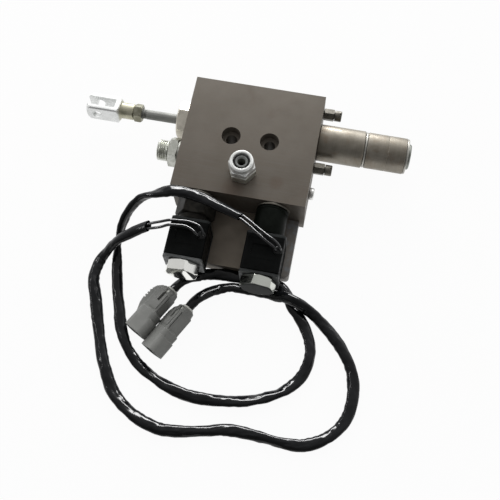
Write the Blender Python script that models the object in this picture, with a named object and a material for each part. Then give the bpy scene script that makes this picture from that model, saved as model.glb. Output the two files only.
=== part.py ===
"""Hydraulic lift valve, lying on its back: a stepped steel block with a sliding spool worked by a clevis,
a spring cap, two solenoid cartridge valves with sleeved leads, hose fittings and two adjusters.

+X runs along the spool, from the clevis to the spring cap. +Y points from the coils to the top of the
block. +Z is up: the mounting face of the block lies on z = 0 and its drilled front face looks up."""

import math

import bmesh
import bpy
from mathutils import Matrix, Vector

MM = 0.001
FIT = 0.3 * MM  # gap between pieces that touch
BEYOND = 1.0 * MM  # how far a cutter reaches past the face it cuts
FLATTED_SIDES = 24  # sides of a large turned piece that has flats on it
ROUND_SIDES = 20  # sides of a large one that is round all along
SMALL_SIDES = 12  # sides of a small one

# Block
HEAD_WIDTH = 105.5 * MM
HEAD_HEIGHT = 97.0 * MM
HEAD_THICKNESS = 42.0 * MM
SHELF_LENGTH = 48.0 * MM
SHELF_THICKNESS = 12.0 * MM
SHELF_INSET = 3.75 * MM
SHELF_CORNER = 3.0 * MM
EDGE_BREAK = 0.8 * MM
BOLT_HOLE_X = (-14.9 * MM, 15.8 * MM)
BOLT_HOLE_Y = 1.0 * MM
BOLT_HOLE = 9.0 * MM
COUNTERBORE = 15.0 * MM
COUNTERBORE_DEPTH = 8.0 * MM
BACK_PORTS = ((-24.0 * MM, -24.0 * MM), (24.0 * MM, -16.0 * MM))
BACK_PORT_BORE = 8.0 * MM
BACK_PORT_DEPTH = 9.0 * MM
PORT_SEAL_SEAT = 16.6 * MM
PORT_SEAL_DEPTH = 2.4 * MM
PORT_SEAL_CORD = 2.0 * MM

# Spool, rod and clevis, all on one axis
SPOOL_Y = 18.5 * MM
SPOOL_Z = 21.0 * MM
LAND = 16.0 * MM
LAND_WIDTH = 15.0 * MM
GROOVE = 10.5 * MM
GROOVE_WIDTH = 10.0 * MM
ROD = 8.0 * MM
ROD_OUTSIDE = 61.0 * MM
STEM = 9.0 * MM
STEM_LENGTH = 54.0 * MM
CLEVIS_WIDTH = 16.0 * MM
CLEVIS_SLOT = 8.0 * MM
CLEVIS_PIN = 8.0 * MM
CLEVIS_LENGTH = 39.4 * MM
CLEVIS_PIN_INSET = 9.4 * MM
CLEVIS_FORK = 28.0 * MM
CLEVIS_SLOT_DEPTH = 23.7 * MM
CLEVIS_TIP = 13.6 * MM
CLEVIS_TIP_LENGTH = 3.4 * MM
CLEVIS_NECK = 13.0 * MM
CLEVIS_CORNER = 21.0 * MM
CLEVIS_TURN = math.radians(-7.5)
CLEVIS_ENGAGED = 12.8 * MM
JAM_NUT_FLATS = 13.0 * MM
JAM_NUT_LENGTH = 6.5 * MM
JAM_NUT_TURN = math.radians(-12)

# Gland nut on the clevis side
GLAND_FLATS = 27.5 * MM
GLAND_LENGTH = 9.9 * MM
GLAND_SPIGOT = 24.0 * MM
GLAND_SPIGOT_LENGTH = 12.0 * MM
GLAND_TURN = math.radians(3)
WIPER = 14.0 * MM
WIPER_LENGTH = 2.6 * MM

# Spring cap on the other side
CAP = 29.5 * MM
CAP_LENGTH = 36.5 * MM
CAP_BORE = 22.8 * MM
CAP_SPIGOT = 26.0 * MM
CAP_SPIGOT_LENGTH = 10.0 * MM
SNAP_RING = 28.2 * MM
SNAP_RING_LENGTH = 1.4 * MM
HOUSING = 28.6 * MM
HOUSING_LENGTH = 31.0 * MM
HOUSING_SPIGOT = 22.2 * MM
HOUSING_SPIGOT_LENGTH = 7.5 * MM
HOUSING_LINE = 16.8 * MM
STEM_ROOM = 11.0 * MM
END_RING = 27.8 * MM
END_RING_LENGTH = 1.5 * MM
END_PLUG = 20.2 * MM
END_PLUG_LENGTH = 12.5 * MM
END_PLUG_STANDS = 2.3 * MM
END_PLUG_SOCKET = 8.0 * MM
END_PLUG_SOCKET_DEPTH = 4.0 * MM
SEAT = 22.0 * MM
SEAT_LENGTH = 3.0 * MM
SEAT_PILOT = 14.4 * MM
SEAT_PILOT_LENGTH = 3.0 * MM
SPRING_WIRE = 2.6 * MM
SPRING_MEAN = 17.6 * MM
SPRING_TURNS = 5

# Side fitting, small plug and adjusters
SIDE_PORT_Y = -11.3 * MM
SIDE_PORT_Z = 21.0 * MM
SIDE_SPIGOT = 14.0 * MM
SIDE_SPIGOT_LENGTH = 10.0 * MM
SIDE_COLLAR = 22.0 * MM
SIDE_COLLAR_LENGTH = 1.5 * MM
SIDE_FLATS = 22.0 * MM
SIDE_HEX_LENGTH = 7.5 * MM
SIDE_THREAD = 17.0 * MM
SIDE_THREAD_LENGTH = 9.7 * MM
SIDE_BORE = 10.4 * MM
SIDE_CONE = 14.2 * MM
SIDE_CONE_DEPTH = 2.8 * MM
SIDE_TURN = math.radians(24)
SEAL_WASHER = 23.0 * MM
SEAL_WASHER_LENGTH = 1.5 * MM
PLUG_Y = -27.5 * MM
PLUG_Z = 21.0 * MM
PLUG_HEAD = 9.6 * MM
PLUG_HEAD_LENGTH = 3.7 * MM
PLUG_SPIGOT = 7.8 * MM
PLUG_SPIGOT_LENGTH = 7.0 * MM
PLUG_SOCKET = 4.0 * MM
PLUG_SOCKET_DEPTH = 2.8 * MM
ADJUSTERS = {"upper": 43.2 * MM, "lower": -6.3 * MM}
ADJUSTER_Z = 24.0 * MM
LOCK_NUT_FLATS = 8.6 * MM
LOCK_NUT_LENGTH = 8.5 * MM
ADJUSTER_HEAD = 8.6 * MM
ADJUSTER_HEAD_LENGTH = 5.6 * MM
ADJUSTER_SHANK = 5.0 * MM
ADJUSTER_ENGAGED = 10.0 * MM
ADJUSTER_SLOT = 1.4 * MM
ADJUSTER_SLOT_DEPTH = 1.8 * MM
ADJUSTER_TURN = math.radians(15)

# Hose fitting on the front face
FRONT_PORT_X = 0.1 * MM
FRONT_PORT_Y = -28.6 * MM
ADAPTER_SPIGOT = 15.8 * MM
ADAPTER_SPIGOT_LENGTH = 13.0 * MM
ADAPTER_FLATS = 19.0 * MM
ADAPTER_HEX_LENGTH = 8.3 * MM
ADAPTER_TURN = math.radians(-4)
TAIL = 12.2 * MM
TAIL_LENGTH = 8.6 * MM
NOSE = 9.6 * MM
NOSE_LENGTH = 2.0 * MM
NOSE_BORE = 6.0 * MM
NOSE_RING_CORD = 1.2 * MM
SWIVEL_FLATS = 19.0 * MM
SWIVEL_HEX_LENGTH = 7.0 * MM
SWIVEL_LENGTH = 11.4 * MM
SWIVEL_RIM = 17.8 * MM
SWIVEL_MOUTH = 13.8 * MM
SWIVEL_TURN = math.radians(-4)

# Solenoid cartridges, on parallel axes below the head
CARTRIDGE_X = {"left": -30.5 * MM, "right": 28.0 * MM}
CARTRIDGE_NOSE = 19.4 * MM
CAVITY_DEPTH = 25.0 * MM
SEAT_RING = 26.4 * MM
SEAT_RING_LENGTH = 1.6 * MM
CARTRIDGE_FLATS = 27.0 * MM
CARTRIDGE_HEX_LENGTH = 17.4 * MM
CARTRIDGE_TURN = math.radians(29)
CARTRIDGE_ROUND = {"left": 24.0 * MM, "right": 25.2 * MM}
CARTRIDGE_BODY = {"left": 21.7 * MM, "right": 22.9 * MM}
TUBE = 16.0 * MM
TUBE_BORE = 12.6 * MM
TUBE_STUD = 12.0 * MM
TUBE_STUD_LENGTH = 6.4 * MM
PIN_BORE = 7.0 * MM
PLUNGER_PIN = 6.4 * MM
PLUNGER_PIN_LENGTH = 44.0 * MM
PLUNGER_LENGTH = 20.5 * MM
PLUNGER_SPRING_LENGTH = 8.9 * MM
PLUNGER_SPRING_WIRE = 1.2 * MM
PLUNGER_SPRING_MEAN = 8.6 * MM
PLUNGER_SPRING_TURNS = 4

# Coils
COIL_WIDTH = 29.5 * MM
COIL_HEIGHT = 28.0 * MM
COIL_DEPTH = 27.2 * MM
COIL_CORNER = 2.2 * MM
COIL_CHAMFER = 0.7 * MM
YOKE_WIDTH = 30.5 * MM
YOKE_SHEET = 2.2 * MM
YOKE_BEND = 3.0 * MM
YOKE_CORNER = 3.5 * MM
YOKE_SETBACK = 0.8 * MM
LEAD_ACROSS = 10.8 * MM
LEAD_DOWN = 12.8 * MM
LEAD_POCKET = 7.4 * MM
LEAD_POCKET_DEPTH = 1.2 * MM
WINDOW_ACROSS = -2.6 * MM
WINDOW_DOWN = 14.2 * MM
WINDOW = (12.6 * MM, 8.0 * MM)
WINDOW_DEPTH = 0.6 * MM
COIL_NUT_FLATS = 24.0 * MM
COIL_NUT_LENGTH = 8.6 * MM
COIL_NUT_BORE_DEPTH = 7.4 * MM
COIL_NUT_TURN = {"left": math.radians(-6), "right": math.radians(21)}

# Leads: bare wires, sleeves and connectors. Every route is a list of points chosen by hand.
WIRE = 2.2 * MM
SLEEVE = 8.0 * MM
WIRE_POINTS = 7
SLEEVE_POINTS = {"left": 43, "right": 38}
WIRE_ROUTES = {
    "left": (
        ((-18.4, -85.6, 41.1), (-18.5, -85.3, 43.4), (-19.6, -82.6, 45.6), (-23.0, -79.8, 46.9),
         (-30.0, -78.4, 47.3), (-37.0, -78.6, 47.1), (-45.0, -79.3, 46.3)),
        ((-21.6, -86.6, 41.1), (-21.8, -87.1, 44.0), (-23.2, -86.6, 46.4), (-26.6, -84.4, 47.4),
         (-32.0, -82.2, 47.4), (-38.0, -81.9, 47.2), (-45.0, -82.3, 46.2)),
    ),
    "right": (
        ((40.5, -86.4, 41.1), (40.4, -86.1, 43.6), (39.0, -84.2, 45.9), (35.0, -81.4, 47.6),
         (27.8, -78.0, 48.9), (19.0, -73.2, 49.8), (13.0, -69.7, 50.2), (9.1, -67.6, 50.3)),
        ((37.2, -87.6, 41.1), (37.1, -87.3, 43.6), (36.0, -86.2, 45.6), (32.8, -84.6, 46.8),
         (27.6, -82.0, 48.0), (20.0, -77.4, 49.2), (13.4, -73.4, 50.0), (8.2, -70.5, 50.3)),
    ),
}
SLEEVE_ROUTES = {
    "left": (
        (-46.2, -80.8, 46.1), (-52.4, -81.6, 43.6), (-59.9, -83.5, 39.4), (-68.3, -86.3, 34.6),
        (-76.4, -89.6, 29.2), (-84.1, -92.9, 23.6), (-90.6, -96.9, 17.0), (-95.5, -101.6, 10.5),
        (-99.9, -107.6, 6.0), (-102.0, -117.4, 4.3), (-100.9, -126.2, 4.3), (-96.4, -137.4, 4.3),
        (-91.0, -152.3, 4.3), (-84.9, -168.3, 4.3), (-77.6, -185.3, 4.3), (-67.3, -202.8, 4.3),
        (-58.8, -211.8, 4.3), (-51.2, -217.0, 4.3), (-41.8, -222.0, 4.3), (-32.9, -225.0, 4.3),
        (-21.4, -226.9, 4.3), (-6.4, -225.4, 4.3), (10.3, -221.7, 4.3), (24.1, -218.3, 4.3),
        (38.4, -217.7, 4.3), (53.1, -218.6, 4.3), (67.6, -219.6, 4.3), (81.7, -218.5, 4.3),
        (94.2, -212.5, 4.3), (104.2, -203.5, 4.3), (110.1, -193.1, 4.3), (112.2, -181.9, 4.3),
        (111.6, -169.6, 4.3), (107.6, -156.3, 4.3), (99.9, -144.3, 4.3), (89.9, -133.5, 4.3),
        (77.8, -123.7, 5.0), (68.5, -118.5, 8.2), (60.9, -116.0, 12.9), (54.5, -114.0, 13.6),
        (48.5, -112.9, 12.9), (42.5, -112.2, 9.6), (37.0, -110.7, 6.4), (30.0, -109.9, 4.5),
        (20.0, -109.5, 4.3), (12.0, -109.8, 4.3), (5.3, -110.5, 4.3), (-2.6, -113.6, 4.6),
        (-9.0, -117.8, 7.0), (-15.7, -124.5, 9.7), (-19.4, -129.6, 10.1), (-21.7, -133.9, 10.1),
    ),
    "right": (
        (7.5, -68.7, 50.3), (-1.0, -66.0, 50.1), (-12.0, -62.6, 50.0), (-24.0, -59.0, 50.0),
        (-34.3, -57.2, 50.0), (-43.1, -56.7, 49.5), (-52.1, -57.2, 47.6), (-62.4, -59.4, 43.2),
        (-73.6, -62.2, 36.0), (-81.8, -69.9, 28.0), (-86.9, -78.7, 18.5), (-88.8, -88.4, 10.5),
        (-88.4, -99.1, 5.4), (-85.9, -111.1, 4.3), (-81.0, -128.1, 4.3), (-75.8, -143.1, 4.3),
        (-70.5, -157.8, 4.3), (-63.1, -170.3, 4.3), (-53.2, -180.6, 4.3), (-41.2, -188.4, 4.3),
        (-25.3, -195.1, 4.3), (-9.6, -198.7, 4.3), (5.3, -199.1, 4.3), (19.7, -197.7, 4.3),
        (33.9, -195.0, 4.3), (47.5, -190.0, 4.3), (59.4, -183.3, 4.3), (68.2, -174.8, 4.3),
        (73.8, -165.1, 4.3), (75.7, -154.2, 4.3), (74.4, -143.9, 4.3), (69.8, -134.0, 4.3),
        (62.9, -124.4, 4.3), (56.4, -117.5, 4.3), (52.8, -112.3, 4.3), (47.5, -105.4, 4.3),
        (41.5, -101.8, 4.3), (34.0, -100.9, 4.3), (22.0, -100.9, 4.3), (8.0, -100.9, 4.3),
        (-5.0, -101.4, 4.3), (-17.1, -104.1, 4.3), (-24.6, -108.1, 5.3), (-30.2, -112.4, 8.1),
        (-33.9, -116.6, 8.75), (-37.0, -121.6, 8.75),
    ),
}
CONNECTOR_HEADING = {"left": math.radians(-118), "right": math.radians(-119)}
CONNECTOR_ROLL = {"left": math.radians(45), "right": math.radians(14)}
CONNECTOR_LENGTH = 42.0 * MM
CONNECTOR_REAR = (13.5 * MM, 12.0 * MM)
CONNECTOR_REAR_LENGTH = 5.5 * MM
CONNECTOR_BODY = (16.0 * MM, 13.0 * MM)
CONNECTOR_SHROUD = (18.5 * MM, 15.2 * MM)
CONNECTOR_SHROUD_LENGTH = 19.0 * MM
CONNECTOR_WALL = 1.6 * MM
CONNECTOR_CORNER = 2.2 * MM
CONNECTOR_SHROUD_CORNER = 4.6 * MM
CONNECTOR_MOUTH_DEPTH = 15.0 * MM
WIRE_SEAL = 9.4 * MM
WIRE_SEAL_DEPTH = 4.0 * MM
WIRE_SEAL_STANDS = 1.4 * MM
LATCH = (7.0 * MM, 2.2 * MM)
LATCH_LENGTH = 17.0 * MM
TERMINAL = (1.5 * MM, 1.0 * MM)
TERMINAL_LENGTH = 8.0 * MM
TERMINAL_SPACING = 5.2 * MM

# Places worked out from the sizes
LEFT = -HEAD_WIDTH / 2
RIGHT = HEAD_WIDTH / 2
BELOW = -HEAD_HEIGHT / 2
FRONT = HEAD_THICKNESS
ALONG_X = Vector((1, 0, 0))
ALONG_Z = Vector((0, 0, 1))
OUT_LEFT = Vector((-1, 0, 0))
OUT_BELOW = Vector((0, -1, 0))
CARTRIDGE_Z = SHELF_THICKNESS + FIT + YOKE_SHEET + FIT + COIL_DEPTH / 2
SEAT_RING_TOP = SEAT_RING_LENGTH + 2 * FIT
TUBE_START = {side: SEAT_RING_TOP + CARTRIDGE_BODY[side] for side in CARTRIDGE_X}
YOKE_LENGTH = COIL_HEIGHT + 2 * YOKE_SHEET + 2 * FIT


def material(name, colour, roughness, metallic):
    """A plain Principled material."""
    made = bpy.data.materials.new(name)
    made.use_nodes = True
    shader = made.node_tree.nodes["Principled BSDF"]
    shader.inputs["Base Color"].default_value = (*colour, 1.0)
    shader.inputs["Roughness"].default_value = roughness
    shader.inputs["Metallic"].default_value = metallic
    made.diffuse_color = (*colour, 1.0)
    return made


def steel(name):
    return material(name, (0.36, 0.33, 0.30), 0.42, 1.0)


def zinc(name):
    return material(name, (0.62, 0.62, 0.60), 0.30, 1.0)


def yellow_zinc(name):
    return material(name, (0.45, 0.41, 0.24), 0.36, 1.0)


def black_plastic(name):
    return material(name, (0.02, 0.022, 0.024), 0.45, 0.0)


def rubber(name):
    return material(name, (0.015, 0.015, 0.015), 0.6, 0.0)


def grey_plastic(name):
    return material(name, (0.16, 0.165, 0.16), 0.5, 0.0)


def sleeve_vinyl(name):
    return material(name, (0.012, 0.012, 0.014), 0.22, 0.0)


def pale_rubber(name):
    return material(name, (0.62, 0.62, 0.56), 0.5, 0.0)


def add_object(name, mesh, make_material, place=None):
    """Links a new object with a material of its own."""
    made = bpy.data.objects.new(name, mesh)
    if make_material is not None:
        mesh.materials.append(make_material(name))
    bpy.context.scene.collection.objects.link(made)
    if place is not None:
        made.matrix_world = place
    return made


def place_on(origin, axis):
    """A matrix whose local Z is the axis. Local X looks to the front, or to +X on an upright axis."""
    across = ALONG_X if abs(axis.z) > 0.5 else ALONG_Z
    side = axis.cross(across)
    turned = Matrix((across, side, axis)).transposed().to_4x4()
    return Matrix.Translation(origin) @ turned


def mesh_from(rings, closed):
    """A mesh whose rings of points are joined in order. A ring of one point is a tip. When closed, the last
    ring joins the first, and otherwise the ends are capped."""
    build = bmesh.new()
    made = [[build.verts.new(point) for point in ring] for ring in rings]
    pairs = list(zip(made, made[1:]))
    if closed:
        pairs.append((made[-1], made[0]))
    for first, second in pairs:
        count = max(len(first), len(second))
        for i in range(count):
            j = (i + 1) % count
            corners = [first[i % len(first)], first[j % len(first)], second[j % len(second)],
                       second[i % len(second)]]
            build.faces.new(list(dict.fromkeys(corners)))
    if not closed:
        for end in (made[0], made[-1]):
            if len(end) > 2:
                build.faces.new(end)
    bmesh.ops.recalc_face_normals(build, faces=build.faces)
    mesh = bpy.data.meshes.new("shape")
    build.to_mesh(mesh)
    build.free()
    return mesh


def outline_radius(angle, limit, flats, across):
    """Distance from the axis to a circle of this limit, or to a polygon's flats where they lie inside it."""
    if across is None:
        return limit
    step = 2 * math.pi / flats
    return min(limit, across / 2 / math.cos(angle % step - step / 2))


def turned_mesh(stations, sides, flats, turn, closed):
    """Rings from stations of (place along the axis, diameter, distance across flats or None)."""
    rings = []
    for along, diameter, across in stations:
        if diameter == 0:
            rings.append([Vector((0, 0, along))])
            continue
        ring = []
        for i in range(sides):
            angle = 2 * math.pi * i / sides
            radius = outline_radius(angle, diameter / 2, flats, across)
            ring.append(Vector((radius * math.cos(angle + turn), radius * math.sin(angle + turn), along)))
        rings.append(ring)
    return mesh_from(rings, closed)


def turned(name, make_material, origin, axis, stations, sides=None, flats=6, turn=0.0, closed=False):
    """A turned piece, with hexagonal or square stretches where its stations name flats."""
    full = [station if len(station) == 3 else (*station, None) for station in stations]
    if sides is None:
        sides = ROUND_SIDES if all(station[2] is None for station in full) else FLATTED_SIDES
    return add_object(name, turned_mesh(full, sides, flats, turn, closed), make_material,
                      place_on(Vector(origin), axis))


def corners_of(across, flats=6):
    """The diameter over a polygon's corners."""
    return across / math.cos(math.pi / flats)


def rounded_rectangle(width, height, radius, steps=2):
    """Points of a rectangle about the origin, with round corners."""
    points = []
    for quarter, (sx, sy) in enumerate(((1, 1), (-1, 1), (-1, -1), (1, -1))):
        for i in range(steps + 1):
            angle = math.pi / 2 * (quarter + i / steps)
            x = sx * (width / 2 - radius) + radius * math.cos(angle)
            y = sy * (height / 2 - radius) + radius * math.sin(angle)
            points.append((x, y))
    return points


def hide_cutter(cutter):
    cutter.hide_render = True
    cutter.display_type = "WIRE"


def cut(target, cutter):
    """Takes the cutter's shape out of the target."""
    hide_cutter(cutter)
    modifier = target.modifiers.new(cutter.name, "BOOLEAN")
    modifier.operation = "DIFFERENCE"
    modifier.object = cutter


def drill(target, origin, axis, steps, sides=ROUND_SIDES):
    """Drills a stepped hole along the axis. Each step is (diameter, start, end) along it."""
    stations = [(steps[0][1], 0)]
    for diameter, start, end in steps:
        stations += [(start, diameter), (end, diameter)]
    stations.append((steps[-1][2], 0))
    cut(target, turned(f"{target.name}_drill", None, origin, axis, stations, sides=sides))


def box_mesh(size, centre=(0, 0, 0)):
    half = Vector(size) / 2
    rings = []
    for z in (-half.z, half.z):
        ring = [(-half.x, -half.y, z), (half.x, -half.y, z), (half.x, half.y, z), (-half.x, half.y, z)]
        rings.append([Vector(point) + Vector(centre) for point in ring])
    return mesh_from(rings, False)


def round_edges(mesh, wanted, radius, segments):
    """Bevels the edges that the test picks by their two ends."""
    build = bmesh.new()
    build.from_mesh(mesh)
    edges = [edge for edge in build.edges if wanted(edge.verts[0].co, edge.verts[1].co)]
    bmesh.ops.bevel(build, geom=edges, offset=radius, segments=segments, affect="EDGES", profile=0.5)
    build.to_mesh(mesh)
    build.free()


def block_mesh():
    """The stepped block: a full outline up to the shelf's face, then the head alone."""
    half = HEAD_WIDTH / 2
    inner = half - SHELF_INSET
    foot = BELOW - SHELF_LENGTH
    build = bmesh.new()

    def points(outline, z):
        return [build.verts.new((x, y, z)) for x, y in outline]

    outline = [(-half, -BELOW), (-half, BELOW), (-inner, BELOW), (-inner, foot), (inner, foot),
               (inner, BELOW), (half, BELOW), (half, -BELOW)]
    low = points(outline, 0)
    step = points(outline, SHELF_THICKNESS)
    high = points([outline[0], outline[1], outline[6], outline[7]], HEAD_THICKNESS)
    build.faces.new(low)
    build.faces.new(high)
    for i in range(len(low)):
        j = (i + 1) % len(low)
        build.faces.new((low[i], low[j], step[j], step[i]))
    build.faces.new(step[2:6])
    build.faces.new((step[0], step[1], high[1], high[0]))
    build.faces.new((step[1], step[2], step[5], step[6], high[2], high[1]))
    build.faces.new((step[6], step[7], high[3], high[2]))
    build.faces.new((step[7], step[0], high[0], high[3]))
    bmesh.ops.recalc_face_normals(build, faces=build.faces)
    mesh = bpy.data.meshes.new("block")
    build.to_mesh(mesh)
    build.free()
    return mesh


def near(value, target):
    return abs(value - target) < 0.01 * MM


def valve_body():
    """The block, with its edges broken and every hole drilled."""
    mesh = block_mesh()
    foot = BELOW - SHELF_LENGTH
    round_edges(mesh, lambda a, b: near(a.y, foot) and near(b.y, foot) and not near(a.z, b.z),
                SHELF_CORNER, 3)
    round_edges(mesh, lambda a, b: near(a.z, FRONT) and near(b.z, FRONT), EDGE_BREAK, 1)
    body = add_object("valve_body", mesh, steel)
    for x in BOLT_HOLE_X:
        drill(body, (x, BOLT_HOLE_Y, 0), ALONG_Z,
              ((BOLT_HOLE, -BEYOND, FRONT - COUNTERBORE_DEPTH),
               (COUNTERBORE, FRONT - COUNTERBORE_DEPTH, FRONT + BEYOND)))
    drill(body, (0, SPOOL_Y, SPOOL_Z), ALONG_X,
          ((GLAND_SPIGOT + 2 * FIT, LEFT - BEYOND, LEFT + GLAND_SPIGOT_LENGTH),
           (LAND + 2 * FIT, LEFT + GLAND_SPIGOT_LENGTH, RIGHT - CAP_SPIGOT_LENGTH),
           (CAP_SPIGOT + 2 * FIT, RIGHT - CAP_SPIGOT_LENGTH, RIGHT + BEYOND)))
    drill(body, (LEFT, SIDE_PORT_Y, SIDE_PORT_Z), ALONG_X,
          ((SIDE_SPIGOT + 2 * FIT, -BEYOND, SIDE_SPIGOT_LENGTH + FIT),
           (SIDE_BORE, SIDE_SPIGOT_LENGTH + FIT, 2.5 * SIDE_SPIGOT_LENGTH)))
    drill(body, (FRONT_PORT_X, FRONT_PORT_Y, FRONT), -ALONG_Z,
          ((ADAPTER_SPIGOT + 2 * FIT, -BEYOND, ADAPTER_SPIGOT_LENGTH + FIT),
           (NOSE_BORE, ADAPTER_SPIGOT_LENGTH + FIT, 2 * ADAPTER_SPIGOT_LENGTH)))
    for x in CARTRIDGE_X.values():
        drill(body, (x, BELOW, CARTRIDGE_Z), -OUT_BELOW,
              ((CARTRIDGE_NOSE + 2 * FIT, -BEYOND, CAVITY_DEPTH),))
    for y in ADJUSTERS.values():
        drill(body, (RIGHT, y, ADJUSTER_Z), OUT_LEFT,
              ((ADJUSTER_SHANK + 2 * FIT, -BEYOND, ADJUSTER_ENGAGED + FIT),), sides=SMALL_SIDES)
    drill(body, (RIGHT, PLUG_Y, PLUG_Z), OUT_LEFT,
          ((PLUG_SPIGOT + 2 * FIT, -BEYOND, PLUG_SPIGOT_LENGTH + FIT),), sides=SMALL_SIDES)
    for x, y in BACK_PORTS:
        drill(body, (x, y, 0), ALONG_Z,
              ((PORT_SEAL_SEAT, -BEYOND, PORT_SEAL_DEPTH), (BACK_PORT_BORE, PORT_SEAL_DEPTH, BACK_PORT_DEPTH)))


def ring_of_cord(name, make_material, origin, axis, mean, cord, along, sides=ROUND_SIDES):
    """An O-ring: a small hexagon turned about the axis."""
    stations = []
    for i in range(6):
        angle = 2 * math.pi * (i + 0.5) / 6
        stations.append((along + cord / 2 * math.sin(angle), mean + cord * math.cos(angle)))
    turned(name, make_material, origin, axis, stations, sides=sides, closed=True)


def port_seals():
    for number, (x, y) in enumerate(BACK_PORTS, 1):
        mean = PORT_SEAL_SEAT - PORT_SEAL_CORD - 2 * FIT
        ring_of_cord(f"port_seal_{number}", rubber, (x, y, 0), ALONG_Z, mean, PORT_SEAL_CORD,
                     PORT_SEAL_DEPTH - FIT - PORT_SEAL_CORD / 2)


def spool():
    """Threaded rod, three sharp-edged lands, and the stem that guides the spring."""
    tip = LEFT - ROD_OUTSIDE
    end = RIGHT - CAP_SPIGOT_LENGTH
    stations = [(tip, 0), (tip, ROD - 2 * EDGE_BREAK), (tip + EDGE_BREAK, ROD)]
    starts = [end - LAND_WIDTH - i * (LAND_WIDTH + GROOVE_WIDTH) for i in (2, 1, 0)]
    stations.append((starts[0], ROD))
    for i, start in enumerate(starts):
        if i > 0:
            stations += [(start, GROOVE)]
        stations += [(start, LAND), (start + LAND_WIDTH, LAND)]
        if i < 2:
            stations += [(start + LAND_WIDTH, GROOVE)]
    stations += [(end, STEM), (end + STEM_LENGTH, STEM), (end + STEM_LENGTH, 0)]
    turned("spool", steel, (0, SPOOL_Y, SPOOL_Z), ALONG_X, stations)


def clevis_start():
    """Where the neck of the clevis ends, towards the block."""
    return LEFT - ROD_OUTSIDE + CLEVIS_ENGAGED


def clevis():
    """A square fork with turned corners, a slot and a cross hole for the pin, on a round neck."""
    neck_end = clevis_start()
    tip = neck_end - CLEVIS_LENGTH
    fork_end = tip + CLEVIS_FORK
    bore = ROD + 2 * FIT
    chamfer = EDGE_BREAK
    origin = (0, SPOOL_Y, SPOOL_Z)
    stations = [(tip, 0), (tip, CLEVIS_TIP, CLEVIS_WIDTH),
                (tip + CLEVIS_TIP_LENGTH / 3, CLEVIS_WIDTH * 1.12, CLEVIS_WIDTH),
                (tip + CLEVIS_TIP_LENGTH, CLEVIS_CORNER, CLEVIS_WIDTH),
                (fork_end - 2 * chamfer, CLEVIS_CORNER, CLEVIS_WIDTH), (fork_end, CLEVIS_WIDTH, CLEVIS_WIDTH),
                (fork_end + chamfer, CLEVIS_NECK), (neck_end - chamfer, CLEVIS_NECK),
                (neck_end, CLEVIS_NECK - 2 * chamfer), (neck_end, bore),
                (neck_end - CLEVIS_ENGAGED - FIT, bore), (neck_end - CLEVIS_ENGAGED - FIT, 0)]
    fork = turned("clevis", yellow_zinc, origin, ALONG_X, stations, flats=4,
                  turn=math.pi / 4 + CLEVIS_TURN)
    slot_floor = tip + CLEVIS_SLOT_DEPTH
    slot_length = slot_floor - tip + BEYOND
    size = (2 * CLEVIS_WIDTH, CLEVIS_SLOT, slot_length)
    slot = add_object("clevis_slot", box_mesh(size), None, place_on(Vector(origin), ALONG_X))
    slot.matrix_world @= Matrix.Rotation(CLEVIS_TURN, 4, "Z")
    slot.matrix_world @= Matrix.Translation((0, 0, slot_floor - slot_length / 2))
    cut(fork, slot)
    pin_axis = slot.matrix_world.to_3x3() @ Vector((0, 1, 0))
    pin_centre = Vector((tip + CLEVIS_PIN_INSET, SPOOL_Y, SPOOL_Z))
    hole = turned_mesh([(-CLEVIS_WIDTH, 0, None), (-CLEVIS_WIDTH, CLEVIS_PIN, None),
                        (CLEVIS_WIDTH, CLEVIS_PIN, None), (CLEVIS_WIDTH, 0, None)], SMALL_SIDES, 6, 0.0, False)
    across = Matrix.Translation(pin_centre) @ pin_axis.to_track_quat("Z", "Y").to_matrix().to_4x4()
    cut(fork, add_object("clevis_pin_hole", hole, None, across))


def nut_stations(start, length, across, bore, chamfer):
    """A closed run of stations for a hexagon nut with both faces chamfered."""
    over = corners_of(across)
    face = across * 0.97
    return [(start, bore), (start, face, across), (start + chamfer, over, across),
            (start + length - chamfer, over, across), (start + length, face, across), (start + length, bore)]


def jam_nut():
    turned("jam_nut", yellow_zinc, (0, SPOOL_Y, SPOOL_Z), ALONG_X,
           nut_stations(clevis_start() + FIT, JAM_NUT_LENGTH, JAM_NUT_FLATS, ROD + 2 * FIT, EDGE_BREAK),
           sides=SMALL_SIDES, turn=JAM_NUT_TURN, closed=True)


def gland_nut():
    """Screwed into the block: spigot and hexagon, bored for the rod and its wiper."""
    bore = ROD + 2 * FIT
    recess = WIPER + 2 * FIT
    hex_end = FIT + GLAND_LENGTH
    over = corners_of(GLAND_FLATS)
    break_ = 2 * EDGE_BREAK
    stations = [(FIT - GLAND_SPIGOT_LENGTH, bore), (FIT - GLAND_SPIGOT_LENGTH, GLAND_SPIGOT - break_),
                (FIT - GLAND_SPIGOT_LENGTH + EDGE_BREAK, GLAND_SPIGOT), (FIT, GLAND_SPIGOT),
                (FIT, GLAND_FLATS * 0.97, GLAND_FLATS), (FIT + EDGE_BREAK, over, GLAND_FLATS),
                (hex_end - EDGE_BREAK, over, GLAND_FLATS),
                (hex_end, GLAND_FLATS * 0.97, GLAND_FLATS), (hex_end, recess),
                (hex_end - WIPER_LENGTH - FIT, recess), (hex_end - WIPER_LENGTH - FIT, bore)]
    origin = (LEFT, SPOOL_Y, SPOOL_Z)
    turned("gland_nut", zinc, origin, OUT_LEFT, stations, turn=GLAND_TURN, closed=True)
    lip = [(hex_end - WIPER_LENGTH, bore), (hex_end - WIPER_LENGTH, WIPER), (hex_end - FIT, WIPER),
           (hex_end + FIT, bore + break_), (hex_end + FIT, bore)]
    turned("rod_wiper", rubber, origin, OUT_LEFT, lip, sides=SMALL_SIDES, closed=True)


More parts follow.
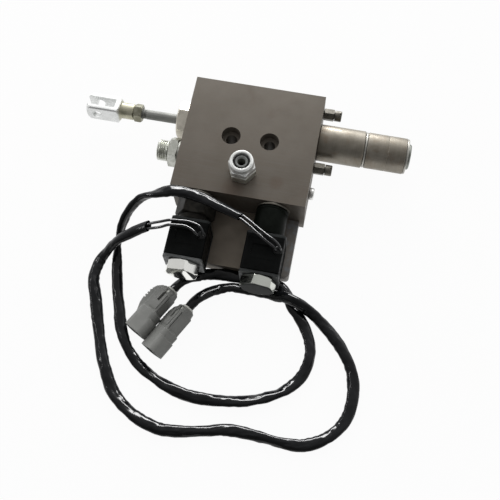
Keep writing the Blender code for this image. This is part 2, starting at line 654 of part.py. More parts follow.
def cap_places():
    """Where the pieces of the spring cap start and end, outwards from the block."""
    places = {"cap_end": FIT + CAP_LENGTH}
    places["snap_start"] = places["cap_end"] + FIT
    places["housing_start"] = places["snap_start"] + SNAP_RING_LENGTH + FIT
    places["housing_end"] = places["housing_start"] + HOUSING_LENGTH
    places["spigot_start"] = places["housing_start"] - HOUSING_SPIGOT_LENGTH
    places["ring_start"] = places["housing_end"] + FIT
    places["plug_end"] = places["ring_start"] + END_RING_LENGTH + END_PLUG_STANDS
    places["plug_start"] = places["plug_end"] - END_PLUG_LENGTH
    places["fixed_seat_end"] = places["spigot_start"] - FIT
    places["moving_seat_start"] = FIT - CAP_SPIGOT_LENGTH
    return places


def spring_cap():
    """Cap, snap ring, end housing, bright rim and end plug, one behind the other."""
    at = cap_places()
    origin = (RIGHT, SPOOL_Y, SPOOL_Z)
    break_ = 2 * EDGE_BREAK
    cap = [(FIT - CAP_SPIGOT_LENGTH, CAP_BORE), (FIT - CAP_SPIGOT_LENGTH, CAP_SPIGOT), (FIT, CAP_SPIGOT),
           (FIT, CAP), (at["cap_end"] - EDGE_BREAK, CAP), (at["cap_end"], CAP - break_),
           (at["cap_end"], CAP_BORE)]
    turned("spring_cap", zinc, origin, ALONG_X, cap, closed=True)
    snap_end = at["snap_start"] + SNAP_RING_LENGTH
    snap = [(at["snap_start"], CAP_BORE), (at["snap_start"], SNAP_RING), (snap_end, SNAP_RING),
            (snap_end, CAP_BORE)]
    turned("snap_ring", zinc, origin, ALONG_X, snap, closed=True)
    line = at["housing_start"] + HOUSING_LINE
    groove = HOUSING - EDGE_BREAK
    stem_bore = STEM + 2 * FIT
    room = STEM_LENGTH + STEM_ROOM - CAP_SPIGOT_LENGTH
    plug_bore = END_PLUG + 2 * FIT
    plug_floor = at["plug_start"] - FIT
    housing = [(room, 0), (room, stem_bore), (at["spigot_start"], stem_bore),
               (at["spigot_start"], HOUSING_SPIGOT), (at["housing_start"], HOUSING_SPIGOT),
               (at["housing_start"], HOUSING - EDGE_BREAK), (at["housing_start"] + EDGE_BREAK / 2, HOUSING),
               (line - EDGE_BREAK, HOUSING), (line - EDGE_BREAK / 2, groove), (line + EDGE_BREAK / 2, groove),
               (line + EDGE_BREAK, HOUSING), (at["housing_end"], HOUSING), (at["housing_end"], plug_bore),
               (plug_floor, plug_bore), (plug_floor, 0)]
    turned("end_housing", zinc, origin, ALONG_X, housing)
    ring_end = at["ring_start"] + END_RING_LENGTH
    rim = [(at["ring_start"], plug_bore), (at["ring_start"], END_RING),
           (ring_end - EDGE_BREAK / 2, END_RING), (ring_end, END_RING - EDGE_BREAK), (ring_end, plug_bore)]
    turned("end_ring", zinc, origin, ALONG_X, rim, closed=True)
    socket_over = corners_of(END_PLUG_SOCKET)
    plug = [(at["plug_start"], 0), (at["plug_start"], END_PLUG),
            (at["plug_end"] - EDGE_BREAK, END_PLUG), (at["plug_end"], END_PLUG - break_),
            (at["plug_end"], socket_over, END_PLUG_SOCKET),
            (at["plug_end"] - END_PLUG_SOCKET_DEPTH, socket_over, END_PLUG_SOCKET),
            (at["plug_end"] - END_PLUG_SOCKET_DEPTH, 0)]
    turned("end_plug", zinc, origin, ALONG_X, plug)


def spring_parts():
    """The seat that the spool pushes, the seat on the housing, and the spring between them."""
    at = cap_places()
    origin = (RIGHT, SPOOL_Y, SPOOL_Z)
    bore = STEM + 2 * FIT
    start = at["moving_seat_start"]
    moving = [(start, bore), (start, SEAT), (start + SEAT_LENGTH, SEAT), (start + SEAT_LENGTH, SEAT_PILOT),
              (start + SEAT_LENGTH + SEAT_PILOT_LENGTH, SEAT_PILOT - EDGE_BREAK),
              (start + SEAT_LENGTH + SEAT_PILOT_LENGTH, bore)]
    turned("spring_seat", steel, origin, ALONG_X, moving, closed=True)
    end = at["fixed_seat_end"]
    fixed = [(end, bore), (end, SEAT), (end - SEAT_LENGTH, SEAT), (end - SEAT_LENGTH, SEAT_PILOT),
             (end - SEAT_LENGTH - SEAT_PILOT_LENGTH, SEAT_PILOT - EDGE_BREAK),
             (end - SEAT_LENGTH - SEAT_PILOT_LENGTH, bore)]
    turned("spring_stop", steel, origin, ALONG_X, fixed, closed=True)
    spring("return_spring", origin, ALONG_X, start + SEAT_LENGTH + FIT, end - SEAT_LENGTH - FIT,
           SPRING_MEAN, SPRING_WIRE, SPRING_TURNS, 11)


def spring(name, origin, axis, start, end, mean, wire, turns, steps):
    """A round-wire spring with open ends, between two places along the axis."""
    curve = bpy.data.curves.new(name, "CURVE")
    curve.dimensions = "3D"
    curve.bevel_depth = wire / 2
    curve.bevel_resolution = 1
    curve.use_fill_caps = True
    line = curve.splines.new("POLY")
    count = turns * steps
    line.points.add(count)
    lead = end - start - wire
    for i in range(count + 1):
        angle = 2 * math.pi * i / steps
        along = start + wire / 2 + lead * i / count
        line.points[i].co = (mean / 2 * math.cos(angle), mean / 2 * math.sin(angle), along, 1)
    add_object(name, curve, steel, place_on(Vector(origin), axis))


def side_fitting():
    """Male hose fitting on the clevis side, with a coned mouth and a bonded seal under its collar."""
    origin = (LEFT, SIDE_PORT_Y, SIDE_PORT_Z)
    washer_end = FIT + SEAL_WASHER_LENGTH
    spigot = SIDE_SPIGOT + 2 * FIT
    washer = [(FIT, spigot), (FIT, SEAL_WASHER), (washer_end, SEAL_WASHER), (washer_end, spigot)]
    turned("side_seal", rubber, origin, OUT_LEFT, washer, closed=True)
    collar = washer_end + FIT
    hex_start = collar + SIDE_COLLAR_LENGTH
    hex_end = hex_start + SIDE_HEX_LENGTH
    end = hex_end + SIDE_THREAD_LENGTH
    over = corners_of(SIDE_FLATS)
    stations = [(-SIDE_SPIGOT_LENGTH, SIDE_BORE), (-SIDE_SPIGOT_LENGTH, SIDE_SPIGOT), (collar, SIDE_SPIGOT),
                (collar, SIDE_COLLAR * 0.97), (hex_start, SIDE_COLLAR * 0.97),
                (hex_start + EDGE_BREAK, over, SIDE_FLATS), (hex_end - EDGE_BREAK, over, SIDE_FLATS),
                (hex_end, SIDE_FLATS * 0.97, SIDE_FLATS), (hex_end, SIDE_THREAD - 2 * EDGE_BREAK),
                (hex_end + EDGE_BREAK, SIDE_THREAD), (end - EDGE_BREAK, SIDE_THREAD),
                (end, SIDE_THREAD - 2 * EDGE_BREAK), (end, SIDE_CONE), (end - SIDE_CONE_DEPTH, SIDE_BORE)]
    turned("side_fitting", zinc, origin, OUT_LEFT, stations, turn=SIDE_TURN, closed=True)


def small_plug():
    """Socket-head plug low on the cap side."""
    over = corners_of(PLUG_SOCKET)
    end = FIT + PLUG_HEAD_LENGTH
    floor = end - PLUG_SOCKET_DEPTH
    stations = [(floor, 0), (floor, over, PLUG_SOCKET), (end, over, PLUG_SOCKET),
                (end, PLUG_HEAD - EDGE_BREAK), (end - EDGE_BREAK / 2, PLUG_HEAD), (FIT, PLUG_HEAD),
                (FIT, PLUG_SPIGOT), (-PLUG_SPIGOT_LENGTH, PLUG_SPIGOT), (-PLUG_SPIGOT_LENGTH, 0)]
    turned("small_plug", zinc, (RIGHT, PLUG_Y, PLUG_Z), ALONG_X, stations, sides=SMALL_SIDES)


def adjusters():
    """Two slotted adjusting screws, each with a long lock nut against the block."""
    for name, y in ADJUSTERS.items():
        origin = (RIGHT, y, ADJUSTER_Z)
        bore = ADJUSTER_SHANK + 2 * FIT
        turned(f"lock_nut_{name}", zinc, origin, ALONG_X,
               nut_stations(FIT, LOCK_NUT_LENGTH, LOCK_NUT_FLATS, bore, EDGE_BREAK / 2),
               sides=SMALL_SIDES, turn=ADJUSTER_TURN, closed=True)
        head = 2 * FIT + LOCK_NUT_LENGTH
        end = head + ADJUSTER_HEAD_LENGTH
        stations = [(-ADJUSTER_ENGAGED, 0), (-ADJUSTER_ENGAGED, ADJUSTER_SHANK), (head, ADJUSTER_SHANK),
                    (head, ADJUSTER_HEAD), (end - EDGE_BREAK / 2, ADJUSTER_HEAD),
                    (end, ADJUSTER_HEAD - EDGE_BREAK), (end, 0)]
        screw = turned(f"adjuster_{name}", zinc, origin, ALONG_X, stations, sides=SMALL_SIDES)
        size = (2 * ADJUSTER_HEAD, ADJUSTER_SLOT, ADJUSTER_SLOT_DEPTH + BEYOND)
        centre = (0, 0, end + BEYOND - size[2] / 2)
        cut(screw, add_object(f"adjuster_{name}_slot", box_mesh(size, centre), None,
                              place_on(Vector(origin), ALONG_X)))


def front_fitting():
    """Adapter in the front port, its O-ring, and the swivel nut that turns on its tail."""
    origin = (FRONT_PORT_X, FRONT_PORT_Y, FRONT)
    hex_end = FIT + ADAPTER_HEX_LENGTH
    tail_end = hex_end + TAIL_LENGTH
    end = tail_end + NOSE_LENGTH
    over = corners_of(ADAPTER_FLATS)
    adapter = [(-ADAPTER_SPIGOT_LENGTH, NOSE_BORE), (-ADAPTER_SPIGOT_LENGTH, ADAPTER_SPIGOT),
               (FIT, ADAPTER_SPIGOT), (FIT, ADAPTER_FLATS * 0.97, ADAPTER_FLATS),
               (FIT + EDGE_BREAK, over, ADAPTER_FLATS), (hex_end - EDGE_BREAK, over, ADAPTER_FLATS),
               (hex_end, ADAPTER_FLATS * 0.97, ADAPTER_FLATS), (hex_end, TAIL), (tail_end, TAIL),
               (tail_end, NOSE), (end - EDGE_BREAK / 2, NOSE), (end, NOSE - EDGE_BREAK), (end, NOSE_BORE)]
    turned("front_adapter", zinc, origin, ALONG_Z, adapter, turn=ADAPTER_TURN, closed=True)
    mean = NOSE + NOSE_RING_CORD + 2 * FIT
    ring_of_cord("nose_ring", rubber, origin, ALONG_Z, mean, NOSE_RING_CORD,
                 tail_end + FIT + NOSE_RING_CORD / 2, sides=SMALL_SIDES)
    start = hex_end + FIT
    bore = TAIL + 2 * FIT
    swivel_over = corners_of(SWIVEL_FLATS)
    cone_start = start + SWIVEL_HEX_LENGTH
    rim = start + SWIVEL_LENGTH
    middle = (cone_start + rim) / 2
    swivel = [(start, bore), (start, SWIVEL_FLATS * 0.97, SWIVEL_FLATS),
              (start + EDGE_BREAK, swivel_over, SWIVEL_FLATS), (cone_start, swivel_over, SWIVEL_FLATS),
              (middle, (swivel_over + SWIVEL_RIM) / 2, SWIVEL_FLATS),
              (rim - EDGE_BREAK / 2, SWIVEL_RIM + EDGE_BREAK / 2, SWIVEL_FLATS), (rim, SWIVEL_RIM),
              (rim, SWIVEL_MOUTH), (rim - 2 * EDGE_BREAK, bore)]
    turned("swivel_nut", zinc, origin, ALONG_Z, swivel, turn=SWIVEL_TURN, closed=True)


def cartridge(side):
    """Screw-in valve with its armature tube in one piece, bored for the plunger and its push pin."""
    origin = (CARTRIDGE_X[side], BELOW, CARTRIDGE_Z)
    flange = SEAT_RING_TOP
    body_end = TUBE_START[side]
    stud = body_end + YOKE_LENGTH + FIT
    floor = body_end + FIT + PLUNGER_LENGTH + FIT + PLUNGER_SPRING_LENGTH + FIT
    round_ = CARTRIDGE_ROUND[side]
    nose = CARTRIDGE_NOSE
    stations = [(floor, 0), (floor, TUBE_BORE), (body_end, TUBE_BORE), (body_end, PIN_BORE),
                (FIT - CAVITY_DEPTH, PIN_BORE), (FIT - CAVITY_DEPTH, nose - 2 * EDGE_BREAK),
                (FIT + EDGE_BREAK - CAVITY_DEPTH, nose), (flange, nose)]
    if side == "left":
        over = corners_of(CARTRIDGE_FLATS)
        hex_end = flange + CARTRIDGE_HEX_LENGTH
        stations += [(flange, CARTRIDGE_FLATS * 0.97, CARTRIDGE_FLATS),
                     (flange + 2 * EDGE_BREAK, over, CARTRIDGE_FLATS),
                     (hex_end - 2 * EDGE_BREAK, over, CARTRIDGE_FLATS),
                     (hex_end, CARTRIDGE_FLATS * 0.97, CARTRIDGE_FLATS), (hex_end, round_)]
    else:
        stations += [(flange, round_ - EDGE_BREAK), (flange + EDGE_BREAK / 2, round_)]
    stations += [(body_end - EDGE_BREAK, round_), (body_end, round_ - 2 * EDGE_BREAK), (body_end, TUBE),
                 (stud - YOKE_SHEET, TUBE), (stud - YOKE_SHEET, TUBE_STUD),
                 (stud + TUBE_STUD_LENGTH, TUBE_STUD), (stud + TUBE_STUD_LENGTH, 0)]
    turned(f"cartridge_{side}", steel, origin, OUT_BELOW, stations, turn=CARTRIDGE_TURN)
    ring = [(FIT, nose + 2 * FIT), (FIT, SEAT_RING), (FIT + SEAT_RING_LENGTH, SEAT_RING),
            (FIT + SEAT_RING_LENGTH, nose + 2 * FIT)]
    turned(f"seat_ring_{side}", zinc, origin, OUT_BELOW, ring, closed=True)


def plunger(side):
    """Armature with its push pin, and the spring behind it."""
    origin = (CARTRIDGE_X[side], BELOW, CARTRIDGE_Z)
    start = TUBE_START[side] + FIT
    end = start + PLUNGER_LENGTH
    size = TUBE_BORE - 2 * FIT
    tip = start - PLUNGER_PIN_LENGTH
    stations = [(tip, 0), (tip, PLUNGER_PIN - EDGE_BREAK), (tip + EDGE_BREAK / 2, PLUNGER_PIN),
                (start, PLUNGER_PIN), (start, size), (end, size), (end, 0)]
    turned(f"plunger_{side}", steel, origin, OUT_BELOW, stations, sides=SMALL_SIDES)
    spring(f"plunger_spring_{side}", origin, OUT_BELOW, end + FIT, end + FIT + PLUNGER_SPRING_LENGTH - FIT,
           PLUNGER_SPRING_MEAN, PLUNGER_SPRING_WIRE, PLUNGER_SPRING_TURNS, 7)


def coil_places(side):
    """The top of the yoke, and the middle of the coil's front face, in the world."""
    top = BELOW - TUBE_START[side] - FIT
    front = CARTRIDGE_Z + COIL_DEPTH / 2
    return top, front


def coil(side):
    """Moulded coil with chamfered ends, a shallow window and a pocket that the leads leave by."""
    top, front = coil_places(side)
    x = CARTRIDGE_X[side]
    start = top - YOKE_SHEET - FIT
    rings = []
    for inset, along in ((COIL_CHAMFER, 0), (0, COIL_CHAMFER), (0, COIL_HEIGHT - COIL_CHAMFER),
                         (COIL_CHAMFER, COIL_HEIGHT)):
        outline = rounded_rectangle(COIL_WIDTH - 2 * inset, COIL_DEPTH - 2 * inset, COIL_CORNER)
        rings.append([Vector((u, -along, w)) for u, w in outline])
    place = Matrix.Translation((x, start, front - COIL_DEPTH / 2))
    body = add_object(f"coil_{side}", mesh_from(rings, False), black_plastic, place)
    drill(body, (x, start, CARTRIDGE_Z), OUT_BELOW, ((TUBE + 2 * FIT, -BEYOND, COIL_HEIGHT + BEYOND),))
    drill(body, (x + LEAD_ACROSS, top - LEAD_DOWN, front), -ALONG_Z,
          ((LEAD_POCKET, -BEYOND, LEAD_POCKET_DEPTH),), sides=SMALL_SIDES)
    size = (*WINDOW, WINDOW_DEPTH + BEYOND)
    centre = (x + WINDOW_ACROSS, top - WINDOW_DOWN, front + BEYOND - size[2] / 2)
    cut(body, add_object(f"coil_{side}_window", box_mesh(size, centre), None))


def arc(centre, radius, start, end, steps=3):
    """Points on an arc, with the angles in degrees."""
    points = []
    for i in range(steps + 1):
        angle = math.radians(start + (end - start) * i / steps)
        points.append((centre[0] + radius * math.cos(angle), centre[1] + radius * math.sin(angle)))
    return points


def yoke(side):
    """Bent steel frame behind the coil, open to the front, with a hole in each arm for the tube."""
    top, front = coil_places(side)
    x = CARTRIDGE_X[side]
    back = front - COIL_DEPTH - FIT - YOKE_SHEET
    lip = front - YOKE_SETBACK
    low = top - YOKE_LENGTH
    inner = YOKE_BEND - YOKE_SHEET
    outline = [(top, lip)]
    outline += arc((top - YOKE_BEND, back + YOKE_BEND), YOKE_BEND, 0, -90)
    outline += arc((low + YOKE_BEND, back + YOKE_BEND), YOKE_BEND, -90, -180)
    outline += [(low, lip), (low + YOKE_SHEET, lip)]
    outline += arc((low + YOKE_BEND, back + YOKE_BEND), inner, 180, 270)
    outline += arc((top - YOKE_BEND, back + YOKE_BEND), inner, -90, 0)
    outline += [(top - YOKE_SHEET, lip)]
    rings = [[Vector((u, y, z)) for y, z in outline] for u in (-YOKE_WIDTH / 2, YOKE_WIDTH / 2)]
    mesh = mesh_from(rings, False)
    half = YOKE_WIDTH / 2
    round_edges(mesh, lambda a, b: near(a.z, lip) and near(b.z, lip) and near(abs(a.x), half)
                and near(a.x, b.x), YOKE_CORNER, 3)
    frame = add_object(f"yoke_{side}", mesh, steel, Matrix.Translation((x, 0, 0)))
    drill(frame, (x, top, CARTRIDGE_Z), OUT_BELOW, ((TUBE + 2 * FIT, -BEYOND, YOKE_LENGTH + BEYOND),))


def coil_nut(side):
    """Plated hexagon cap nut on the stud of the tube."""
    start = TUBE_START[side] + FIT + YOKE_LENGTH + FIT
    end = start + COIL_NUT_LENGTH
    floor = start + COIL_NUT_BORE_DEPTH
    over = corners_of(COIL_NUT_FLATS)
    bore = TUBE_STUD + 2 * FIT
    face = COIL_NUT_FLATS * 0.97
    stations = [(floor, 0), (floor, bore), (start, bore), (start, face, COIL_NUT_FLATS),
                (start + EDGE_BREAK, over, COIL_NUT_FLATS), (end - EDGE_BREAK, over, COIL_NUT_FLATS),
                (end, face, COIL_NUT_FLATS), (end, 0)]
    turned(f"coil_nut_{side}", zinc, (CARTRIDGE_X[side], BELOW, CARTRIDGE_Z), OUT_BELOW,
           stations, turn=COIL_NUT_TURN[side])


def smooth_route(route, count, stub):
    """Points along a smooth curve through the route's own points: evenly spaced, but for a short straight
    stub at each end that keeps the tube square to what it meets."""
    points = [Vector(point) * MM for point in route]
    ends = [2 * points[0] - points[1], *points, 2 * points[-1] - points[-2]]
    fine = []
    for i in range(len(points) - 1):
        a, b, c, d = ends[i:i + 4]
        for k in range(16):
            t = k / 16
            fine.append(0.5 * (2 * b + (c - a) * t + (2 * a - 5 * b + 4 * c - d) * t ** 2
                               + (3 * b - a - 3 * c + d) * t ** 3))
    fine.append(points[-1])
    reached = [0.0]
    for first, second in zip(fine, fine[1:]):
        reached.append(reached[-1] + (second - first).length)
    middle = reached[-1] - 2 * stub
    spaced = [stub + middle * i / (count - 3) for i in range(count - 2)]
    chosen = []
    index = 0
    for wanted in (0.0, *spaced, reached[-1]):
        while index < len(fine) - 2 and reached[index + 1] < wanted:
            index += 1
        share = (wanted - reached[index]) / (reached[index + 1] - reached[index])
        chosen.append(fine[index].lerp(fine[index + 1], min(share, 1.0)))
    return chosen


def cord(name, make_material, route, diameter, count, fineness):
    """A plain tube along a route."""
    curve = bpy.data.curves.new(name, "CURVE")
    curve.dimensions = "3D"
    curve.bevel_depth = diameter / 2
    curve.bevel_resolution = fineness
    curve.use_fill_caps = True
    line = curve.splines.new("POLY")
    points = smooth_route(route, count, diameter)
    line.points.add(len(points) - 1)
    for point, place in zip(line.points, points):
        point.co = (*place, 1)
    add_object(name, curve, make_material)


def connector_frame(side):
    """Local Z runs from the cable to the mouth. The origin is the rear face. Local Y would be up, but the
    connector lies rolled over about its length."""
    last = Vector(SLEEVE_ROUTES[side][-1]) * MM
    heading = Vector((math.cos(CONNECTOR_HEADING[side]), math.sin(CONNECTOR_HEADING[side]), 0))
    origin = last + heading * (FIT + WIRE_SEAL_STANDS)
    across = ALONG_Z.cross(heading)
    upright = Matrix.Translation(origin) @ Matrix((across, ALONG_Z, heading)).transposed().to_4x4()
    return upright @ Matrix.Rotation(CONNECTOR_ROLL[side], 4, "Z")


def connector(side):
    """Two-way sealed connector: rear collar, body, open shroud, wire seal, latch and terminals."""
    frame = connector_frame(side)
    shroud_start = CONNECTOR_LENGTH - CONNECTOR_SHROUD_LENGTH
    floor = CONNECTOR_LENGTH - CONNECTOR_MOUTH_DEPTH
    mouth = (CONNECTOR_SHROUD[0] - 2 * CONNECTOR_WALL, CONNECTOR_SHROUD[1] - 2 * CONNECTOR_WALL)
    seal_hole = (WIRE_SEAL + 2 * FIT, WIRE_SEAL + 2 * FIT)
    round_ = WIRE_SEAL / 2
    inner = CONNECTOR_SHROUD_CORNER - CONNECTOR_WALL
    sections = [(WIRE_SEAL_DEPTH + FIT, seal_hole, round_), (0, seal_hole, round_),
                (0, CONNECTOR_REAR, CONNECTOR_CORNER), (CONNECTOR_REAR_LENGTH, CONNECTOR_REAR, CONNECTOR_CORNER),
                (CONNECTOR_REAR_LENGTH, CONNECTOR_BODY, CONNECTOR_CORNER),
                (shroud_start, CONNECTOR_BODY, CONNECTOR_CORNER),
                (shroud_start + CONNECTOR_WALL, CONNECTOR_SHROUD, CONNECTOR_SHROUD_CORNER),
                (CONNECTOR_LENGTH, CONNECTOR_SHROUD, CONNECTOR_SHROUD_CORNER), (CONNECTOR_LENGTH, mouth, inner),
                (floor, mouth, inner)]
    rings = []
    for along, size, radius in sections:
        rings.append([Vector((u, w, along)) for u, w in rounded_rectangle(*size, radius)])
    add_object(f"connector_{side}", mesh_from(rings, False), grey_plastic, frame)
    seal = [(-WIRE_SEAL_STANDS, 0), (-WIRE_SEAL_STANDS, WIRE_SEAL - EDGE_BREAK),
            (-WIRE_SEAL_STANDS / 2, WIRE_SEAL), (WIRE_SEAL_DEPTH, WIRE_SEAL), (WIRE_SEAL_DEPTH, 0)]
    full = [(*station, None) for station in seal]
    add_object(f"wire_seal_{side}", turned_mesh(full, SMALL_SIDES, 6, 0.0, False), pale_rubber, frame)
    base = CONNECTOR_BODY[1] / 2 + FIT
    rings = []
    for along, height in ((0, LATCH[1] / 2), (LATCH_LENGTH * 0.2, LATCH[1]), (LATCH_LENGTH * 0.8, LATCH[1]),
                          (LATCH_LENGTH, LATCH[1] / 3)):
        half = LATCH[0] / 2
        start = CONNECTOR_REAR_LENGTH / 2 + along
        rings.append([Vector((-half, base, start)), Vector((half, base, start)),
                      Vector((half * 0.8, base + height, start)), Vector((-half * 0.8, base + height, start))])
    add_object(f"latch_{side}", mesh_from(rings, False), grey_plastic, frame)
    for number, across in enumerate((-TERMINAL_SPACING / 2, TERMINAL_SPACING / 2), 1):
        centre = (across, 0, floor + FIT + TERMINAL_LENGTH / 2)
        mesh = box_mesh((*TERMINAL, TERMINAL_LENGTH), centre)
        add_object(f"terminal_{side}_{number}", mesh, zinc, frame)


def leads(side):
    """Two bare wires out of the coil, then one sleeve over both down to the connector."""
    for number, route in enumerate(WIRE_ROUTES[side], 1):
        cord(f"wire_{side}_{number}", sleeve_vinyl, route, WIRE, WIRE_POINTS, 2)
    cord(f"sleeve_{side}", sleeve_vinyl, SLEEVE_ROUTES[side], SLEEVE, SLEEVE_POINTS[side], 2)
    connector(side)


def build():
    for old in list(bpy.data.objects):
        bpy.data.objects.remove(old, do_unlink=True)
    valve_body()
    port_seals()
    spool()
    clevis()
    jam_nut()
    gland_nut()
    spring_cap()
    spring_parts()
    side_fitting()
    small_plug()
    adjusters()
    front_fitting()
    for side in CARTRIDGE_X:
        cartridge(side)
        plunger(side)
        coil(side)
        yoke(side)
        coil_nut(side)
        leads(side)


build()
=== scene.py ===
"""Looks for the hydraulic lift valve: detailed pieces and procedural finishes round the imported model.

Lengths in the station lists and the piece functions are in millimetres, and helpers turn them into metres.
+X runs along the spool towards the spring cap, +Y to the top of the block and +Z out of its front face."""

import math
from collections import namedtuple

import bmesh
import bpy
from mathutils import Matrix, Vector, noise


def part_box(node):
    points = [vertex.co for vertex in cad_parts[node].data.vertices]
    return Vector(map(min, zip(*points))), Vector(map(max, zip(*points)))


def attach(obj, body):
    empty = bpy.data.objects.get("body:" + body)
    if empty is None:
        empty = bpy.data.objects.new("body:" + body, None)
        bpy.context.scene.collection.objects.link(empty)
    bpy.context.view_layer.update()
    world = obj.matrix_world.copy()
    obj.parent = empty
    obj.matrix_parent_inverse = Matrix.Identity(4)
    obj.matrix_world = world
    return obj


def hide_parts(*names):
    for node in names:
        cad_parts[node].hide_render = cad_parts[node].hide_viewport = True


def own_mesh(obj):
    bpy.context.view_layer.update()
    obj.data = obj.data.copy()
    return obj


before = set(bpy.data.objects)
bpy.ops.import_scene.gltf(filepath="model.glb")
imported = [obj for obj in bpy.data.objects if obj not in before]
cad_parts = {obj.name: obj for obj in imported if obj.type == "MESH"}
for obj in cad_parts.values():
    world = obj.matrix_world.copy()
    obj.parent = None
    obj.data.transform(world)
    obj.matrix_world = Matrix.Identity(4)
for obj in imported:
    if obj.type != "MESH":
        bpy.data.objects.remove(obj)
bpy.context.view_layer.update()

MM = 0.001
TINY = 1e-6  # a difference in metres that counts as none
TURN = 2 * math.pi
ROUND = 96  # sides of a turned piece
THREAD_DEPTH = 0.55  # as a share of the pitch
ROWS_PER_TURN = 8
SMOOTH_ANGLE, TUBE_SMOOTH_ANGLE = 32, 60  # degrees
EDGE_ANGLE = 35  # degrees at which carve breaks an edge
GAP = 0.3  # between pieces that touch

# Camera, fitted to the photograph
CAMERA_PLACE = (0.0733, -0.2879, 0.6006)
CAMERA_LOOK = (-0.0923, 0.3322, -0.9387)
CAMERA_UP = (-0.1742, 0.9228, 0.3437)
CAMERA_LENS, CAMERA_SENSOR = 57.58, 36

# Block
HEAD_WIDTH, HEAD_HEIGHT, HEAD_THICKNESS = 105.5, 97.0, 42.0
SHELF_LENGTH, SHELF_THICKNESS, SHELF_INSET, SHELF_CORNER = 48.0, 12.0, 3.75, 3.0
LEFT, RIGHT, BELOW = -HEAD_WIDTH / 2, HEAD_WIDTH / 2, -HEAD_HEIGHT / 2
BOLT_HOLES = ((-14.9, 1.0), (15.8, 1.0))
SPOOL_Y, SPOOL_Z = 18.5, 21.0
SPOOL_AXIS = (0, SPOOL_Y, SPOOL_Z)  # a point on it
CAP_FOOT = (RIGHT, SPOOL_Y, SPOOL_Z)
ROD_TIP = LEFT - 61
NECK_END = ROD_TIP + 12.8
LAND_PITCH = 25
BACK_PORTS = ((-24.0, -24.0), (24.0, -16.0))
SIDE_PORT = (-11.3, 21.0)
FRONT_PORT = (0.1, -28.6)
CARTRIDGE_X = {"left": -30.5, "right": 28.0}
CARTRIDGE_Z = 28.4
CARTRIDGE_PORT = {side: (x, BELOW, CARTRIDGE_Z) for side, x in CARTRIDGE_X.items()}
TUBE_START = {"left": 23.9, "right": 25.1}
ARMATURES = {"left": "armature_a", "right": "armature_b"}
NUT_TURNS = {"left": -14, "right": 13}  # degrees
ADJUSTERS = {"upper": 43.2, "lower": -6.3}
ADJUSTER_Z = 24.0
PLUG = (-27.5, 21.0)

ALONG_X = Vector((1, 0, 0))
ALONG_Z = Vector((0, 0, 1))
OUT_LEFT = Vector((-1, 0, 0))
OUT_BELOW = Vector((0, -1, 0))

# Brown marks on the block, as x, y and radius in metres: first a painted shadow below the front fitting, then
# a stain
BLOCK_STAIN_AND_SHADOW = ((-0.0045, -0.043, 0.011), (0.0275, -0.0325, 0.007))

# Sockets of a mix node that count when it blends colours
MIX_SHARE, MIX_FIRST, MIX_SECOND, MIX_RESULT = 0, 6, 7, 2

Row = namedtuple("Row", "along diameter across depth pitch", defaults=(None, 0.0, 1.0))
Lamp = namedtuple("Lamp", "place size power")  # in metres and watts

# Stage
KEY_LAMP = Lamp((-0.12, 0.76, 0.13), (0.40, 0.09), 4.0)
SIDE_LAMP = Lamp((-0.70, -0.05, 0.42), (0.45, 0.02), 0.7)
GLOSS_LAMP = Lamp((-0.08, 0.50, 0.50), (0.90, 0.22), 24.0)
LAMP_AIM = Vector((0, -0.05, 0))
FLOOR_SIZE = (6000, 6000, 10)
FLOOR_DROP = 0.05  # below the part, in millimetres
FLOOR_GREY = (0.75, 0.75, 0.75, 1)
FLOOR_GLOW = 0.95  # share of plain white in the floor that the camera sees
SKY_TONES = ((0.5, (1.0, 1.0, 1.0)), (0.68, (0.95, 0.95, 0.96)), (1.0, (0.74, 0.735, 0.73)))  # upwards
# Strength of the sky along Y: two directions and the strength at each
SKY_SIDE = (-0.9, 0.3, 0.22, 0.72)
SKY_GLOW = (0.35, 0.9, 0.0, 1.8)


# Materials


class Wiring:
    """A node tree being wired up, with short names for the nodes that several trees use."""

    def __init__(self, tree):
        self.tree = tree

    def made(self, kind, output, inputs, **settings):
        """One output of a new node. Its inputs are linked to other outputs or set to plain values."""
        node = self.tree.nodes.new(kind)
        for key, value in settings.items():
            setattr(node, key, value)
        for key, value in inputs.items():
            if isinstance(value, bpy.types.NodeSocket):
                self.tree.links.new(value, node.inputs[key])
            else:
                node.inputs[key].default_value = value
        return node.outputs[output]

    def sum(self, operation, first, second=0.0):
        return self.made("ShaderNodeMath", "Value", {0: first, 1: second}, operation=operation)

    def squares(self, first, second):
        return self.sum("ADD", self.sum("MULTIPLY", first, first), self.sum("MULTIPLY", second, second))

    def between(self, value, low, high, out_low=0.0, out_high=1.0):
        """The value's place between low and high, kept within the limits and spread over the output range."""
        limits = {"Value": value, "From Min": low, "From Max": high, "To Min": out_low, "To Max": out_high}
        return self.made("ShaderNodeMapRange", "Result", limits, interpolation_type="SMOOTHSTEP")

    def axes(self, source):
        node = self.made("ShaderNodeSeparateXYZ", "X", {"Vector": source}).node
        return tuple(node.outputs)

    def surface(self, kind, share, first, second):
        """Sends a mix of two shaders to an output node of this kind."""
        mixed = self.made("ShaderNodeMixShader", "Shader", {0: share, 1: first, 2: second})
        self.tree.links.new(mixed, self.tree.nodes.new(kind).inputs["Surface"])


